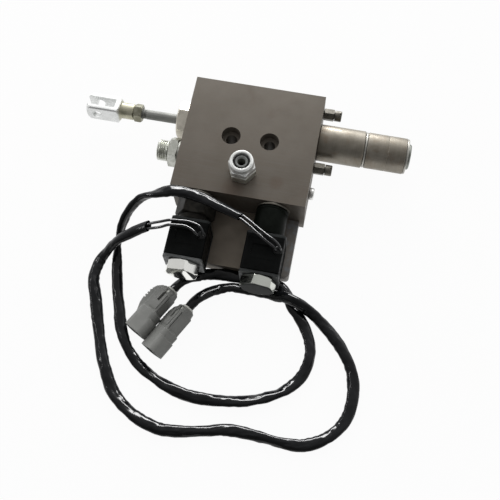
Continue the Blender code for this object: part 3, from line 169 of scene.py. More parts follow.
class Finish(Wiring):
    """A material being wired up round its plain shader."""

    def __init__(self, name, roughness, metallic=0.0, gloss=0.5):
        self.material = bpy.data.materials.new(name)
        self.material.use_nodes = True
        super().__init__(self.material.node_tree)
        self.place = self.made("ShaderNodeTexCoord", "Object", {})
        self.shader = self.tree.nodes["Principled BSDF"].inputs
        for key, value in (("Roughness", roughness), ("Metallic", metallic), ("Specular IOR Level", gloss)):
            self.shader[key].default_value = value

    def stretched(self, scale):
        return self.made("ShaderNodeMapping", "Vector", {"Vector": self.place, "Scale": scale})

    def grain(self, scale, detail=4.0, roughness=0.55, vector=None, distortion=0.0):
        return self.made("ShaderNodeTexNoise", "Fac",
                         {"Vector": vector or self.place, "Scale": scale, "Detail": detail,
                          "Roughness": roughness, "Distortion": distortion})

    def blend(self, share, first, second):
        tones = [tone if isinstance(tone, bpy.types.NodeSocket) else (*tone, 1.0) for tone in (first, second)]
        return self.made("ShaderNodeMix", MIX_RESULT, {MIX_SHARE: share, MIX_FIRST: tones[0],
                                                       MIX_SECOND: tones[1]}, data_type="RGBA")

    def tones(self, value, low, high, first, second, most=1.0):
        """The first tone where a value is low, and up to a share of the second where it is high."""
        return self.blend(self.between(value, low, high, 0.0, most), first, second)

    def near(self, x, y, centre_x, centre_y, radius):
        """One at a place in plan and nothing beyond a radius, in metres."""
        apart = self.squares(self.sum("SUBTRACT", x, centre_x), self.sum("SUBTRACT", y, centre_y))
        return self.between(apart, 0, radius * radius, 1.0, 0.0)

    def turned_lines(self, scale):
        """Fine rings round the piece's own Z axis, as a lathe leaves them."""
        x, y, z = self.axes(self.place)
        radius = self.sum("SQRT", self.squares(x, y))
        return self.grain(scale, 3.0, 0.6, self.made("ShaderNodeCombineXYZ", "Vector", {"X": radius, "Z": z}))

    def finish(self, colour, roughness, relief, strength, depth):
        """The material with its colour, its roughness and a fine relief whose depth is in metres."""
        normal = self.made("ShaderNodeBump", "Normal", {"Strength": strength, "Distance": depth,
                                                        "Height": relief})
        for key, value in (("Base Color", colour), ("Roughness", roughness), ("Normal", normal)):
            self.tree.links.new(value, self.shader[key])
        return self.material


def block_steel():
    """Ground steel, warm grey, with faint mill lines, brown stains, a painted brown shadow below the front
    fitting and a pale stain at the shelf's right.
    """
    look = Finish("block_steel", 0.5, 0.55)
    x, y = look.axes(look.place)[:2]
    lines = look.grain(1.0, 5.0, 0.6, look.stretched((24, 900, 240)))
    clouds = look.grain(26, 3.0, 0.5)
    stains = look.grain(34, 4.0, 0.6, distortion=0.6)
    specks = look.grain(2600, 2.0, 0.6)
    low = look.tones(clouds, 0.3, 0.7, (0.114, 0.098, 0.079), (0.130, 0.113, 0.093))
    high = look.tones(clouds, 0.3, 0.7, (0.156, 0.137, 0.113), (0.180, 0.161, 0.136))
    base = look.tones(y, -0.05, 0.05, low, high)
    base = look.tones(stains, 0.52, 0.75, base, (0.105, 0.075, 0.056), 0.25)
    base = look.tones(lines, 0.4, 0.75, base, (0.150, 0.143, 0.130), 0.3)
    base = look.tones(specks, 0.62, 0.75, base, (0.028, 0.024, 0.020), 0.35)
    # A painted shadow below the front fitting, and one brown stain to its right.
    for place in BLOCK_STAIN_AND_SHADOW:
        base = look.blend(look.sum("MULTIPLY", look.near(x, y, *place), 0.4), base, (0.098, 0.065, 0.046))
    shelf = look.between(y, -0.0495, -0.0485, 1.0, 0.0)
    base = look.blend(look.sum("MULTIPLY", shelf, 0.85), base, (0.164, 0.140, 0.112))
    edge = look.sum("MULTIPLY", shelf, look.between(x, 0.038, 0.042))
    pale = look.sum("MULTIPLY", edge, look.between(look.grain(120, 5.0, 0.7), 0.46, 0.62, 0.3, 0.9))
    base = look.blend(pale, base, (0.20, 0.212, 0.222))
    rough = look.between(look.grain(90, 3.0, 0.6), 0.3, 0.7, 0.42, 0.6)
    height = look.sum("ADD", look.sum("MULTIPLY", lines, 0.7), look.sum("MULTIPLY", specks, 0.5))
    return look.finish(base, rough, height, 0.22, 0.00012)


def painted_reflection_share(look, start, edge=None, lean=0.0):
    """Where a painted dark reflection lies: one on the far end of a turned piece, or only on one side of a
    slanting line across it, in metres.
    """
    x, y, z = look.axes(look.place)
    share = look.between(z, start - 0.0002, start)
    if edge is None:
        return share
    slanted = look.sum("SUBTRACT", y, look.sum("MULTIPLY", x, lean))
    return look.sum("MULTIPLY", share, look.between(slanted, edge - 0.0003, edge + 0.0003, 1.0, 0.0))


def metal(name, dark, light, roughness, metallic=0.9, lines=2200, blotch=70, stain=None, strength=0.12,
          gloss=0.5, end=None, painted_reflection_tone=(0.02, 0.022, 0.02)):
    """Turned or plated metal: rings round its axis over a soft mottle, with fingerprints in its gloss. An end
    is
    a painted dark reflection: a dull dark tone on the piece's far end, placed by the share function above."""
    look = Finish(name, roughness, metallic, gloss)
    rings = look.turned_lines(lines)
    base = look.tones(look.grain(blotch, 4.0, 0.6, distortion=0.4), 0.35, 0.68, dark, light)
    if stain is not None:
        spread = look.grain(blotch * 1.7, 4.0, 0.65, distortion=0.8)
        base = look.tones(spread, 0.5, 0.7, base, stain, 0.6)
    base = look.tones(rings, 0.3, 0.8, base, tuple(min(1, 1.3 * v) for v in light), 0.25)
    smears = look.grain(160, 4.0, 0.65)
    rough = look.between(smears, 0.3, 0.75, roughness * 0.9, min(1, roughness * 1.25))
    if end is not None:
        # Painted dark reflection: the far end turns dull and dark.
        share = painted_reflection_share(look, *end)
        base = look.blend(share, base, painted_reflection_tone)
        rough = look.sum("MAXIMUM", rough, look.sum("MULTIPLY", share, 0.85))
        look.tree.links.new(look.between(share, 0, 1, metallic, 0.0), look.shader["Metallic"])
    return look.finish(base, rough, rings, strength, 0.00008)


def long_brushed(name, dark, light, roughness, metallic):
    """Metal drawn along its own length."""
    look = Finish(name, roughness, metallic)
    lines = look.grain(1.0, 4.0, 0.6, look.stretched((1500, 1500, 20)))
    base = look.tones(look.grain(80, 4.0, 0.6), 0.3, 0.7, dark, light)
    base = look.tones(lines, 0.35, 0.7, base, tuple(0.55 * v for v in dark), 0.4)
    rough = look.between(lines, 0.3, 0.8, roughness * 0.8, roughness * 1.4)
    return look.finish(base, rough, lines, 0.15, 0.0001)


def clevis_zinc():
    """Bright zinc on the fork and an olive tint towards the neck."""
    look = Finish("clevis_zinc", 0.3, 0.75)
    mottle = look.grain(130, 4.0, 0.6)
    fork = look.tones(mottle, 0.35, 0.7, (0.74, 0.75, 0.74), (0.82, 0.83, 0.82))
    neck = look.tones(mottle, 0.3, 0.7, (0.34, 0.33, 0.24), (0.56, 0.54, 0.42))
    base = look.tones(look.axes(look.place)[2], -0.1135, -0.1115, fork, neck)
    rough = look.between(look.grain(220, 3.0, 0.6), 0.3, 0.7, 0.26, 0.42)
    return look.finish(base, rough, look.turned_lines(1700), 0.1, 0.00006)


def moulded(name, dark, light, roughness, grain=1500, strength=0.25, scuff=None, gloss=0.5):
    """Moulded plastic with a fine sparked grain, uneven gloss and faint scuffs."""
    look = Finish(name, roughness, gloss=gloss)
    base = look.tones(look.grain(70, 4.0, 0.6), 0.3, 0.7, dark, light)
    if scuff is not None:
        marks = look.grain(1.0, 5.0, 0.7, look.stretched((90, 700, 350)), 0.5)
        base = look.tones(marks, 0.62, 0.8, base, scuff, 0.5)
    rough = look.between(look.grain(260, 3.0, 0.6), 0.3, 0.75, roughness * 0.8, min(1, roughness * 1.3))
    return look.finish(base, rough, look.grain(grain, 3.0, 0.6), strength, 0.00006)


def yoke_steel(name, side, worn):
    """Blackened sheet steel, worn to grey on its outer flange by a share."""
    look = Finish(name, 0.5, 0.3, 0.25)
    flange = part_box(f"yoke_{side}")[0].y + 3 * MM
    mottle = look.grain(120, 4.0, 0.6, distortion=0.4)
    base = look.tones(mottle, 0.35, 0.68, (0.010, 0.012, 0.012), (0.024, 0.027, 0.027))
    grey = look.tones(mottle, 0.35, 0.68, (0.09, 0.095, 0.095), (0.17, 0.175, 0.175))
    on_flange = look.between(look.axes(look.place)[1], flange - 0.0005, flange, worn, 0.0)
    base = look.blend(on_flange, base, grey)
    rough = look.between(look.grain(160, 4.0, 0.65), 0.3, 0.75, 0.34, 0.56)
    return look.finish(base, rough, look.grain(900, 3.0, 0.6), 0.1, 0.00008)


def rubber(name, colour, roughness=0.65):
    look = Finish(name, roughness)
    clouds = look.grain(300, 4.0, 0.6)
    base = look.tones(clouds, 0.3, 0.7, colour, tuple(1.25 * v for v in colour))
    return look.finish(base, look.between(clouds, 0.3, 0.7, roughness * 0.85, roughness), clouds, 0.2, 0.0001)


def vinyl(name, roughness, gloss):
    """Thin glossy sleeve: nearly black, creased, with dusty patches that dull the gloss."""
    look = Finish(name, roughness, gloss=gloss)
    base = look.tones(look.grain(60, 4.0, 0.6), 0.3, 0.7, (0.0015, 0.0016, 0.0019), (0.004, 0.0043, 0.0048))
    rough = look.between(look.grain(150, 4.0, 0.6), 0.35, 0.75, roughness * 0.8, roughness * 1.6)
    return look.finish(base, rough, look.grain(420, 4.0, 0.6, distortion=1.2), 0.16, 0.0002)


# Geometry helpers


def linked(name, data):
    """A new object in the scene."""
    made = bpy.data.objects.new(name, data)
    bpy.context.scene.collection.objects.link(made)
    return made


def mesh_of(build):
    mesh = bpy.data.meshes.new("shape")
    build.to_mesh(mesh)
    build.free()
    return mesh


def rounded_mesh(build, chosen, reach, segments):
    """The built shape with some of its edges rounded. They are chosen by a test on their two ends."""
    edges = [edge for edge in build.edges if chosen(*(vert.co for vert in edge.verts))]
    bmesh.ops.bevel(build, geom=edges, offset=reach * MM, segments=segments, affect="EDGES", profile=0.5)
    return mesh_of(build)


def turned_to(x, y, z, origin):
    """A matrix with these local axes at a place, in metres."""
    return Matrix.Translation(origin) @ Matrix((x, y, z)).transposed().to_4x4()


def place_on(origin, axis):
    """A matrix whose local Z is the axis. Local X looks to the front, or to +X on an upright axis."""
    across = ALONG_X if abs(axis.z) > 0.5 else ALONG_Z
    return turned_to(across, axis.cross(across), axis, Vector(origin) * MM)


def mesh_from(rings, closed=False):
    """A mesh whose rings of points are joined in order, in metres. A ring of one point is a tip."""
    build = bmesh.new()
    made = [[build.verts.new(point * MM) for point in ring] for ring in rings]
    pairs = list(zip(made, made[1:]))
    if closed:
        pairs.append((made[-1], made[0]))
    for first, second in pairs:
        count = max(len(first), len(second))
        for i in range(count):
            j = (i + 1) % count
            corners = (first[i % len(first)], first[j % len(first)],
                       second[j % len(second)], second[i % len(second)])
            build.faces.new(list(dict.fromkeys(corners)))
    if not closed:
        for end in (made[0], made[-1]):
            if len(end) > 2:
                build.faces.new(end)
    bmesh.ops.recalc_face_normals(build, faces=build.faces)
    return mesh_of(build)


def smooth_faces(mesh, angle=SMOOTH_ANGLE):
    mesh.shade_smooth()
    mesh.set_sharp_from_angle(angle=math.radians(angle))


def show(name, mesh, finish, body="body", place=None, extra=False):
    """Links a finished mesh as a piece that rides a body. It stands for the node of its name unless it is an
    extra."""
    piece = linked(f"{name}_look", mesh)
    if place is not None:
        piece.matrix_world = place
    piece.data.materials.clear()
    piece.data.materials.append(finish)
    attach(piece, body)
    if not extra:
        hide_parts(name)
    return piece


def outline_radius(angle, limit, flats, across):
    """Distance from the axis to a circle of this limit, or to a polygon's flats where they lie inside it."""
    if across is None:
        return limit
    step = TURN / flats
    return min(limit, across / 2 / math.cos(angle % step - step / 2))


def rounded_profile(rows, closed, ease):
    """The rows with each corner of the profile rounded by a small arc."""
    made = []
    for i, row in enumerate(rows):
        end = not closed and i in (0, len(rows) - 1)
        before, after = rows[i - 1], rows[(i + 1) % len(rows)]
        here = Vector((row.along, row.diameter / 2))
        back = Vector((before.along, before.diameter / 2)) - here
        ahead = Vector((after.along, after.diameter / 2)) - here
        if end or row.depth or row.diameter == 0 or back.length < 0.02 or ahead.length < 0.02 \
                or back.angle(-ahead) < math.radians(12):
            made.append(row)
            continue
        reach = min(ease, 0.4 * back.length, 0.4 * ahead.length)
        start, stop = here + back.normalized() * reach, here + ahead.normalized() * reach
        for point in (start, 0.25 * start + 0.5 * here + 0.25 * stop, stop):
            made.append(Row(point.x, 2 * point.y, row.across))
    return made


def finer_chamfers(rows):
    """Extra rows where a polygon meets a cone, so that its curved chamfers come out."""
    made = []
    for first, second in zip(rows, rows[1:]):
        made.append(first)
        across = first.across or second.across
        if across and first.diameter and second.diameter and abs(first.diameter - second.diameter) > 0.4:
            for k in range(1, 4):
                along = first.along + (second.along - first.along) * k / 4
                made.append(Row(along, first.diameter + (second.diameter - first.diameter) * k / 4, across))
    made.append(rows[-1])
    return made


def thread(start, end, diameter, pitch):
    """Rows of a screw thread between two places, fading in and out at its ends."""
    depth = THREAD_DEPTH * pitch
    count = max(6, round(abs(end - start) / pitch * ROWS_PER_TURN))
    made = []
    for i in range(count + 1):
        share = i / count
        fade = min(1, share * count / ROWS_PER_TURN, (1 - share) * count / ROWS_PER_TURN)
        made.append(Row(start + (end - start) * share, diameter, None, max(depth * fade, 1e-4), pitch))
    return made


def lathe_mesh(stations, sides=ROUND, flats=6, turn=0.0, closed=False, ease=0.25):
    rows = [station if isinstance(station, Row) else Row(*station) for station in stations]
    rows = finer_chamfers(rounded_profile(rows, closed, ease))
    rings = []
    for row in rows:
        if row.diameter == 0:
            rings.append([Vector((0, 0, row.along))])
            continue
        ring = []
        for i in range(sides):
            angle = TURN * i / sides
            radius = outline_radius(angle, row.diameter / 2, flats, row.across)
            if row.depth:
                phase = (row.along / row.pitch - angle / TURN) % 1
                radius -= row.depth * abs(2 * phase - 1)
            ring.append(Vector((radius * math.cos(angle + turn), radius * math.sin(angle + turn), row.along)))
        rings.append(ring)
    mesh = mesh_from(rings, closed)
    smooth_faces(mesh)
    return mesh


def lathe(name, finish, slot, origin, axis, stations, body="body", extra=False, **shape):
    """A turned piece. Its stations are counted from the origin along the axis, in millimetres."""
    return show(name, lathe_mesh(stations, **shape), finish, body, place_on(origin, axis), extra)


def corners_of(across):
    """Width of a hexagon across its corners."""
    return across / math.cos(math.pi / 6)


def rounded_rectangle(width, height, radius, steps=6):
    points = []
    for quarter, (sx, sy) in enumerate(((1, 1), (-1, 1), (-1, -1), (1, -1))):
        for i in range(steps + 1):
            angle = math.pi / 2 * (quarter + i / steps)
            points.append((sx * (width / 2 - radius) + radius * math.cos(angle),
                           sy * (height / 2 - radius) + radius * math.sin(angle)))
    return points


def box_mesh(size, centre=(0, 0, 0)):
    half = Vector(size) / 2
    rings = []
    for z in (-half.z, half.z):
        ring = [(-half.x, -half.y, z), (half.x, -half.y, z), (half.x, half.y, z), (-half.x, half.y, z)]
        rings.append([Vector(point) + Vector(centre) for point in ring])
    return mesh_from(rings)


def applied(work):
    """The mesh that an object's modifiers give. The object is removed."""
    bpy.context.view_layer.update()
    made = bpy.data.meshes.new_from_object(work.evaluated_get(bpy.context.evaluated_depsgraph_get()))
    bpy.data.objects.remove(work)
    return made


def box_change(size, centre=(0, 0, 0), place=None, operation="DIFFERENCE"):
    """A box as a cut or an addition for carve."""
    return operation, box_mesh(size, centre), place


def carve(mesh, changes, bevel):
    """Adds and cuts shapes, then breaks the edges. Each change is (operation, mesh, matrix or None)."""
    work = linked("work", mesh)
    helpers = []
    for operation, shape, place in changes:
        helper = linked("helper", shape)
        if place is not None:
            helper.matrix_world = place
        helpers.append(helper)
        modifier = work.modifiers.new(operation, "BOOLEAN")
        modifier.operation = operation
        modifier.solver = "EXACT"
        modifier.object = helper
    edge = work.modifiers.new("edges", "BEVEL")
    edge.width = bevel * MM
    edge.segments = 2
    edge.limit_method = "ANGLE"
    edge.angle_limit = math.radians(EDGE_ANGLE)
    edge.use_clamp_overlap = True
    made = applied(work)
    for helper in helpers:
        bpy.data.objects.remove(helper)
    smooth_faces(made)
    return even_shading(made)


def even_shading(mesh):
    """Lets large flat faces set the shading of the small ones beside them."""
    work = linked("work", mesh)
    work.modifiers.new("weights", "WEIGHTED_NORMAL").keep_sharp = True
    return applied(work)


def drill(origin, axis, steps, sides=64):
    """A stepped drill as a cut for carve. Each step is (diameter, start, end) along the axis."""
    stations = [Row(steps[0][1], 0)]
    for diameter, start, end in steps:
        stations += [Row(start, diameter), Row(end, diameter)]
    stations.append(Row(steps[-1][2], 0))
    return "DIFFERENCE", lathe_mesh(stations, sides=sides, ease=0), place_on(origin, axis)


# Block


def block_shape():
    """The stepped block: a full outline up to the shelf's face, then the head alone."""
    half = HEAD_WIDTH / 2
    inner = half - SHELF_INSET
    foot = BELOW - SHELF_LENGTH
    build = bmesh.new()

    def points(outline, z):
        return [build.verts.new(Vector((x, y, z)) * MM) for x, y in outline]

    outline = [(-half, -BELOW), (-half, BELOW), (-inner, BELOW), (-inner, foot), (inner, foot),
               (inner, BELOW), (half, BELOW), (half, -BELOW)]
    low = points(outline, 0)
    step = points(outline, SHELF_THICKNESS)
    high = points([outline[0], outline[1], outline[6], outline[7]], HEAD_THICKNESS)
    build.faces.new(low)
    build.faces.new(high)
    for i in range(len(low)):
        j = (i + 1) % len(low)
        build.faces.new((low[i], low[j], step[j], step[i]))
    build.faces.new(step[2:6])
    build.faces.new((step[0], step[1], high[1], high[0]))
    build.faces.new((step[1], step[2], step[5], step[6], high[2], high[1]))
    build.faces.new((step[6], step[7], high[3], high[2]))
    build.faces.new((step[7], step[0], high[0], high[3]))
    bmesh.ops.recalc_face_normals(build, faces=build.faces)

    def at_foot(a, b):
        return all(abs(end.y - foot * MM) < TINY for end in (a, b)) and abs(a.z - b.z) > TINY

    return rounded_mesh(build, at_foot, SHELF_CORNER, 8)


def valve_block(finish):
    """The block with every hole drilled and its edges broken."""
    cuts = []
    for x, y in BOLT_HOLES:
        cuts.append(drill((x, y, 0), ALONG_Z, ((9, -1, 34), (15, 34, 43))))
    bore = ((24.6, LEFT - 1, LEFT + 12), (16.6, LEFT + 12, RIGHT - 10), (26.6, RIGHT - 10, RIGHT + 1))
    cuts.append(drill((0, SPOOL_Y, SPOOL_Z), ALONG_X, bore))
    cuts.append(drill((LEFT, *SIDE_PORT), ALONG_X, ((14.6, -1, 10.3), (10.4, 10.3, 25))))
    cuts.append(drill((*FRONT_PORT, HEAD_THICKNESS), -ALONG_Z, ((16.4, -1, 13.3), (6, 13.3, 26))))
    for port in CARTRIDGE_PORT.values():
        cuts.append(drill(port, -OUT_BELOW, ((20, -1, 25),)))
    for y in ADJUSTERS.values():
        cuts.append(drill((RIGHT, y, ADJUSTER_Z), OUT_LEFT, ((5.6, -1, 10.3),), sides=32))
    cuts.append(drill((RIGHT, *PLUG), OUT_LEFT, ((8.4, -1, 7.3),), sides=32))
    for x, y in BACK_PORTS:
        cuts.append(drill((x, y, 0), ALONG_Z, ((16.6, -1, 2.4), (8, 2.4, 9))))
    show("valve_body", carve(block_shape(), cuts, bevel=0.45), finish)


def o_ring(along, diameter, half_thickness, ring_width, sides=16):
    """Rows of a round ring, or a squeezed one, about a place and a diameter."""
    turns = [TURN * i / sides for i in range(sides)]
    return [(along + half_thickness * math.sin(a), diameter + ring_width * math.cos(a)) for a in turns]


def port_seals(finish):
    for number, place in enumerate(BACK_PORTS, 1):
        lathe(f"port_seal_{number}", finish, "black_rubber", (*place, 0), ALONG_Z, o_ring(1.1, 14, 1, 2),
              closed=True, ease=0)


# Spool, rod, clevis and the cap that holds the spring


def hexagon(start, end, across, chamfer=0.8):
    """Rows of a hexagon with both faces chamfered."""
    over = corners_of(across)
    face = across * 0.97
    return [(start, face, across), (start + chamfer, over, across), (end - chamfer, over, across),
            (end, face, across)]


def rod(looks):
    """Threaded rod and stem in one, with three lands inside the bore and a groove in each."""
    end = RIGHT - 10
    start = end - 15 - 2 * LAND_PITCH
    rows = [(ROD_TIP, 0), (ROD_TIP, 6.4), *thread(ROD_TIP + 0.8, ROD_TIP + 24, 8, 1.25), (ROD_TIP + 25, 7.9),
            (start, 7.9)]
    for i in range(3):
        land = start + LAND_PITCH * i
        rows += [(land, 10.5)] if i else []
        rows += [(land, 16), (land + 4.6, 16), (land + 4.6, 15), (land + 5.4, 15), (land + 5.4, 16),
                 (land + 15, 16)]
        rows += [(land + 15, 10.5)] if i < 2 else []
    rows += [(end, 9), (end + 54, 9), (end + 54, 0)]
    lathe("spool", looks["rod"], "machined_steel", SPOOL_AXIS, ALONG_X, rows, body="spool_rod", sides=64,
          ease=0.15)


def clevis(looks):
    """Fork with rounded shoulders on a turned neck, slotted and cross-drilled."""
    turn = math.radians(-7.5)
    tip = NECK_END - 39.4
    end, slot_floor = tip + 28, tip + 23.7
    rows = [(tip, 0), (tip, 13.6, 16), (tip + 0.5, 15.8, 16), (tip + 1.2, 18, 16), (tip + 2.2, 19.8, 16),
            (tip + 3.4, 21, 16), (end - 1.6, 21, 16), (end, 16, 16), (end + 0.8, 13), (NECK_END - 0.8, 13),
            (NECK_END, 11.4), (NECK_END, 8.6), (ROD_TIP - GAP, 8.6), (ROD_TIP - GAP, 0)]
    shape = lathe_mesh(rows, flats=4, turn=math.pi / 4 + turn)
    turned = Matrix.Rotation(turn, 4, "Z")
    slot = turned @ Matrix.Translation(Vector((0, 0, (tip + slot_floor) / 2 - 4)) * MM)
    pin = turned @ Matrix.Translation(Vector((0, 0, tip + 9.4)) * MM) @ Matrix.Rotation(math.pi / 2, 4, "X")
    hole = lathe_mesh([(-14, 0), (-14, 8), (14, 8), (14, 0)], sides=64, ease=0)
    changes = [box_change((32, 8, slot_floor - tip + 8), place=slot), ("DIFFERENCE", hole, pin)]
    show("clevis", carve(shape, changes, bevel=0.35), looks["clevis"], "spool_rod",
         place_on(SPOOL_AXIS, ALONG_X))


def rod_nut_and_seat(looks):
    start = NECK_END + GAP
    rows = [(start, 8.6), *hexagon(start, start + 6.5, 13), (start + 6.5, 8.6)]
    lathe("jam_nut", looks["olive"], "yellow_zinc", SPOOL_AXIS, ALONG_X, rows, body="spool_rod", closed=True,
          turn=math.radians(-12), ease=0.2)
    rows = [(-9.7, 9.6), (-9.7, 22), (-6.7, 22), (-6.7, 14.4), (-3.7, 13.6), (-3.7, 9.6)]
    lathe("spring_seat", looks["inside"], "machined_steel", CAP_FOOT, ALONG_X, rows,
          body="spool_rod", closed=True, sides=64)


def gland(looks):
    origin = (LEFT, SPOOL_Y, SPOOL_Z)
    across, end = 27.5, 10.2
    over = corners_of(across)
    rows = [(-11.7, 8.6), (-11.7, 22.4), (-10.9, 24), (GAP, 24), (GAP, 26.7, across), (1.1, over, across),
            (end - 1.4, over, across), (end, 26.4, across), (end, 17.4), (end - 0.5, 16.4), (end - 0.5, 14.6),
            (end - 2.9, 14.6), (end - 2.9, 8.6)]
    lathe("gland_nut", looks["gland"], "bright_zinc", origin, OUT_LEFT, rows, closed=True,
          turn=math.radians(3))
    rows = [(end - 2.6, 8.6), (end - 2.6, 14), (end - 0.3, 14), (end + 0.1, 12.4), (end - 0.6, 11),
            (end + 0.3, 9.4), (end + 0.3, 8.6)]
    lathe("rod_wiper", looks["rubber"], "black_rubber", origin, OUT_LEFT, rows, closed=True, sides=64,
          ease=0.1)


def spring_cap(looks):
    """Cap, snap ring, end housing, rim and end plug. The places follow one another outwards."""
    origin = CAP_FOOT
    cap_end, snap, housing = 36.8, 37.1, 38.8
    cap = [(-9.7, 22.8), (-9.7, 26), (GAP, 26), (GAP, 28.9), (GAP + 0.3, 29.5), (cap_end - 0.8, 29.5),
           (cap_end, 27.9), (cap_end, 22.8)]
    lathe("spring_cap", looks["cap"], "bright_zinc", origin, ALONG_X, cap, closed=True)
    lathe("snap_ring", looks["ring"], "bright_zinc", origin, ALONG_X,
          [(snap, 22.8), (snap, 28.2), (snap + 1.4, 28.2), (snap + 1.4, 22.8)], closed=True, ease=0.4)
    line, end = housing + 16.8, housing + 31
    plug_end = end + GAP + 1.5 + 2.3
    plug_floor = plug_end - 12.5 - GAP
    rows = [(55, 0), (55, 9.6), (housing - 7.5, 9.6), (housing - 7.5, 22.2), (housing, 22.2),
            (housing, 27.8), (housing + 0.4, 28.6), (line - 0.4, 28.6), (line - 0.1, 28.1),
            (line + 0.1, 28.1), (line + 0.4, 28.6), (end - 0.3, 28.6), (end, 28), (end, 20.8),
            (plug_floor, 20.8), (plug_floor, 0)]
    lathe("end_housing", looks["cap"], "bright_zinc", origin, ALONG_X, rows, ease=0.15)
    ring = end + GAP
    lathe("end_ring", looks["ring"], "bright_zinc", origin, ALONG_X,
          [(ring, 20.8), (ring, 27.8), (ring + 1.1, 27.8), (ring + 1.5, 27), (ring + 1.5, 20.8)], closed=True)
    socket = corners_of(8)
    rows = [(plug_end - 12.5, 0), (plug_end - 12.5, 20.2), (plug_end - 0.8, 20.2), (plug_end, 18.6),
            (plug_end, socket + 1), (plug_end - 0.5, socket, 8), (plug_end - 4, socket, 8),
            (plug_end - 4.6, 4), (plug_end - 5.2, 0)]
    lathe("end_plug", looks["dark_plug"], "bright_zinc", origin, ALONG_X, rows, ease=0.15)
    lathe("spring_stop", looks["inside"], "machined_steel", origin, ALONG_X,
          [(31, 9.6), (31, 22), (28, 22), (28, 14.4), (25, 13.6), (25, 9.6)], closed=True, sides=64)


def side_hose_fitting(looks):
    origin = (LEFT, *SIDE_PORT)
    washer = [(0.3, 14.6), (0.3, 23), (1.8, 23), (1.8, 14.6)]
    lathe("side_seal", looks["rubber"], "black_rubber", origin, OUT_LEFT, washer, closed=True)
    hex_start, hex_end = 3.6, 11.1
    end = hex_end + 9.7
    rows = [(-10, 10.4), (-10, 12.8), *thread(-9.5, 1.6, 14, 1.5), (2.1, 14), (2.1, 21.3), (hex_start, 21.3),
            *hexagon(hex_start, hex_end, 22), (hex_end, 14.4), (hex_end + 1, 14.4),
            *thread(hex_end + 1.3, end - 0.8, 17, 1.5), (end, 15.2), (end, 14.2), (end - 2.8, 10.4)]
    lathe("side_fitting", looks["fitting"], "bright_zinc", origin, OUT_LEFT, rows, closed=True,
          turn=math.radians(24), ease=0.15)


def right_face(looks):
    """The small plug, and the two adjusting screws in their lock nuts."""
    over = corners_of(4)
    rows = [(0.8, 0), (1.2, 2.2), (1.6, over, 4), (3.6, over, 4), (4, over + 0.8), (4, 8.6), (3.4, 9.6),
            (GAP, 9.6), (GAP, 7.8), (-7, 7.8), (-7, 0)]
    lathe("small_plug", looks["bright"], "bright_zinc", (RIGHT, *PLUG), ALONG_X, rows, sides=72)
    for (name, y), body in zip(ADJUSTERS.items(), ("adjuster_a", "adjuster_b")):
        origin = (RIGHT, y, ADJUSTER_Z)
        rows = [(GAP, 5.6), *hexagon(GAP, 8.8, 8.6, 0.5), (8.8, 5.6)]
        lathe(f"lock_nut_{name}", looks["dull"], "bright_zinc", origin, ALONG_X, rows, closed=True,
              turn=math.radians(15), ease=0.15)
        head, end = 9.1, 14.7
        rows = [(-10, 0), (-10, 4.4), *thread(-9.6, 8.4, 5, 0.8), (head, 5), (head, 8.6), (end - 0.5, 8.6),
                (end, 7.6), (end, 0)]
        slot = box_change((18, 1.4, 2.8), (0, 0, end + 1 - 1.4))
        shape = carve(lathe_mesh(rows, sides=72, ease=0.15), [slot], bevel=0.12)
        show(f"adjuster_{name}", shape, looks["dull"], body, place_on(origin, ALONG_X))


def front_hose_fitting(looks):
    """Adapter with a ring on its nose, and the swivel nut round its tail."""
    origin = (*FRONT_PORT, HEAD_THICKNESS)
    turn = math.radians(-4)
    hex_end, tail_end, end = 8.6, 17.2, 19.2
    rows = [(-13, 6), (-13, 14.6), *thread(-12.5, -0.5, 15.8, 1.5), (GAP, 15.8),
            *hexagon(GAP, hex_end, 19), (hex_end, 12.2), (tail_end, 12.2), (tail_end, 9.6), (end - 0.3, 9.6),
            (end, 9.2), (end, 8), (end - 1.4, 6)]
    lathe("front_adapter", looks["adapter"], "bright_zinc", origin, ALONG_Z, rows, closed=True, turn=turn,
          ease=0.15)
    lathe("nose_ring", looks["dark_rubber"], "black_rubber", origin, ALONG_Z,
          o_ring(tail_end + 0.75, 10.9, 0.45, 1), closed=True, ease=0)
    start = hex_end + GAP
    rim = start + 11.4
    over = corners_of(19)
    rows = [(start, 12.8), (start, 18.4, 19), (start + 0.8, over, 19), (start + 4.2, over, 19),
            (start + 5.8, 19.2, 19), (start + 6.6, 18.6, 19), (rim - 0.9, 18.3, 19), (rim, 16.8), (rim, 13.8),
            (rim - 0.4, 13.2), (rim - 1.6, 12.8)]
    lathe("swivel_nut", looks["swivel"], "bright_zinc", origin, ALONG_Z, rows, body="swivel", closed=True,
          turn=turn)


# Solenoid cartridges


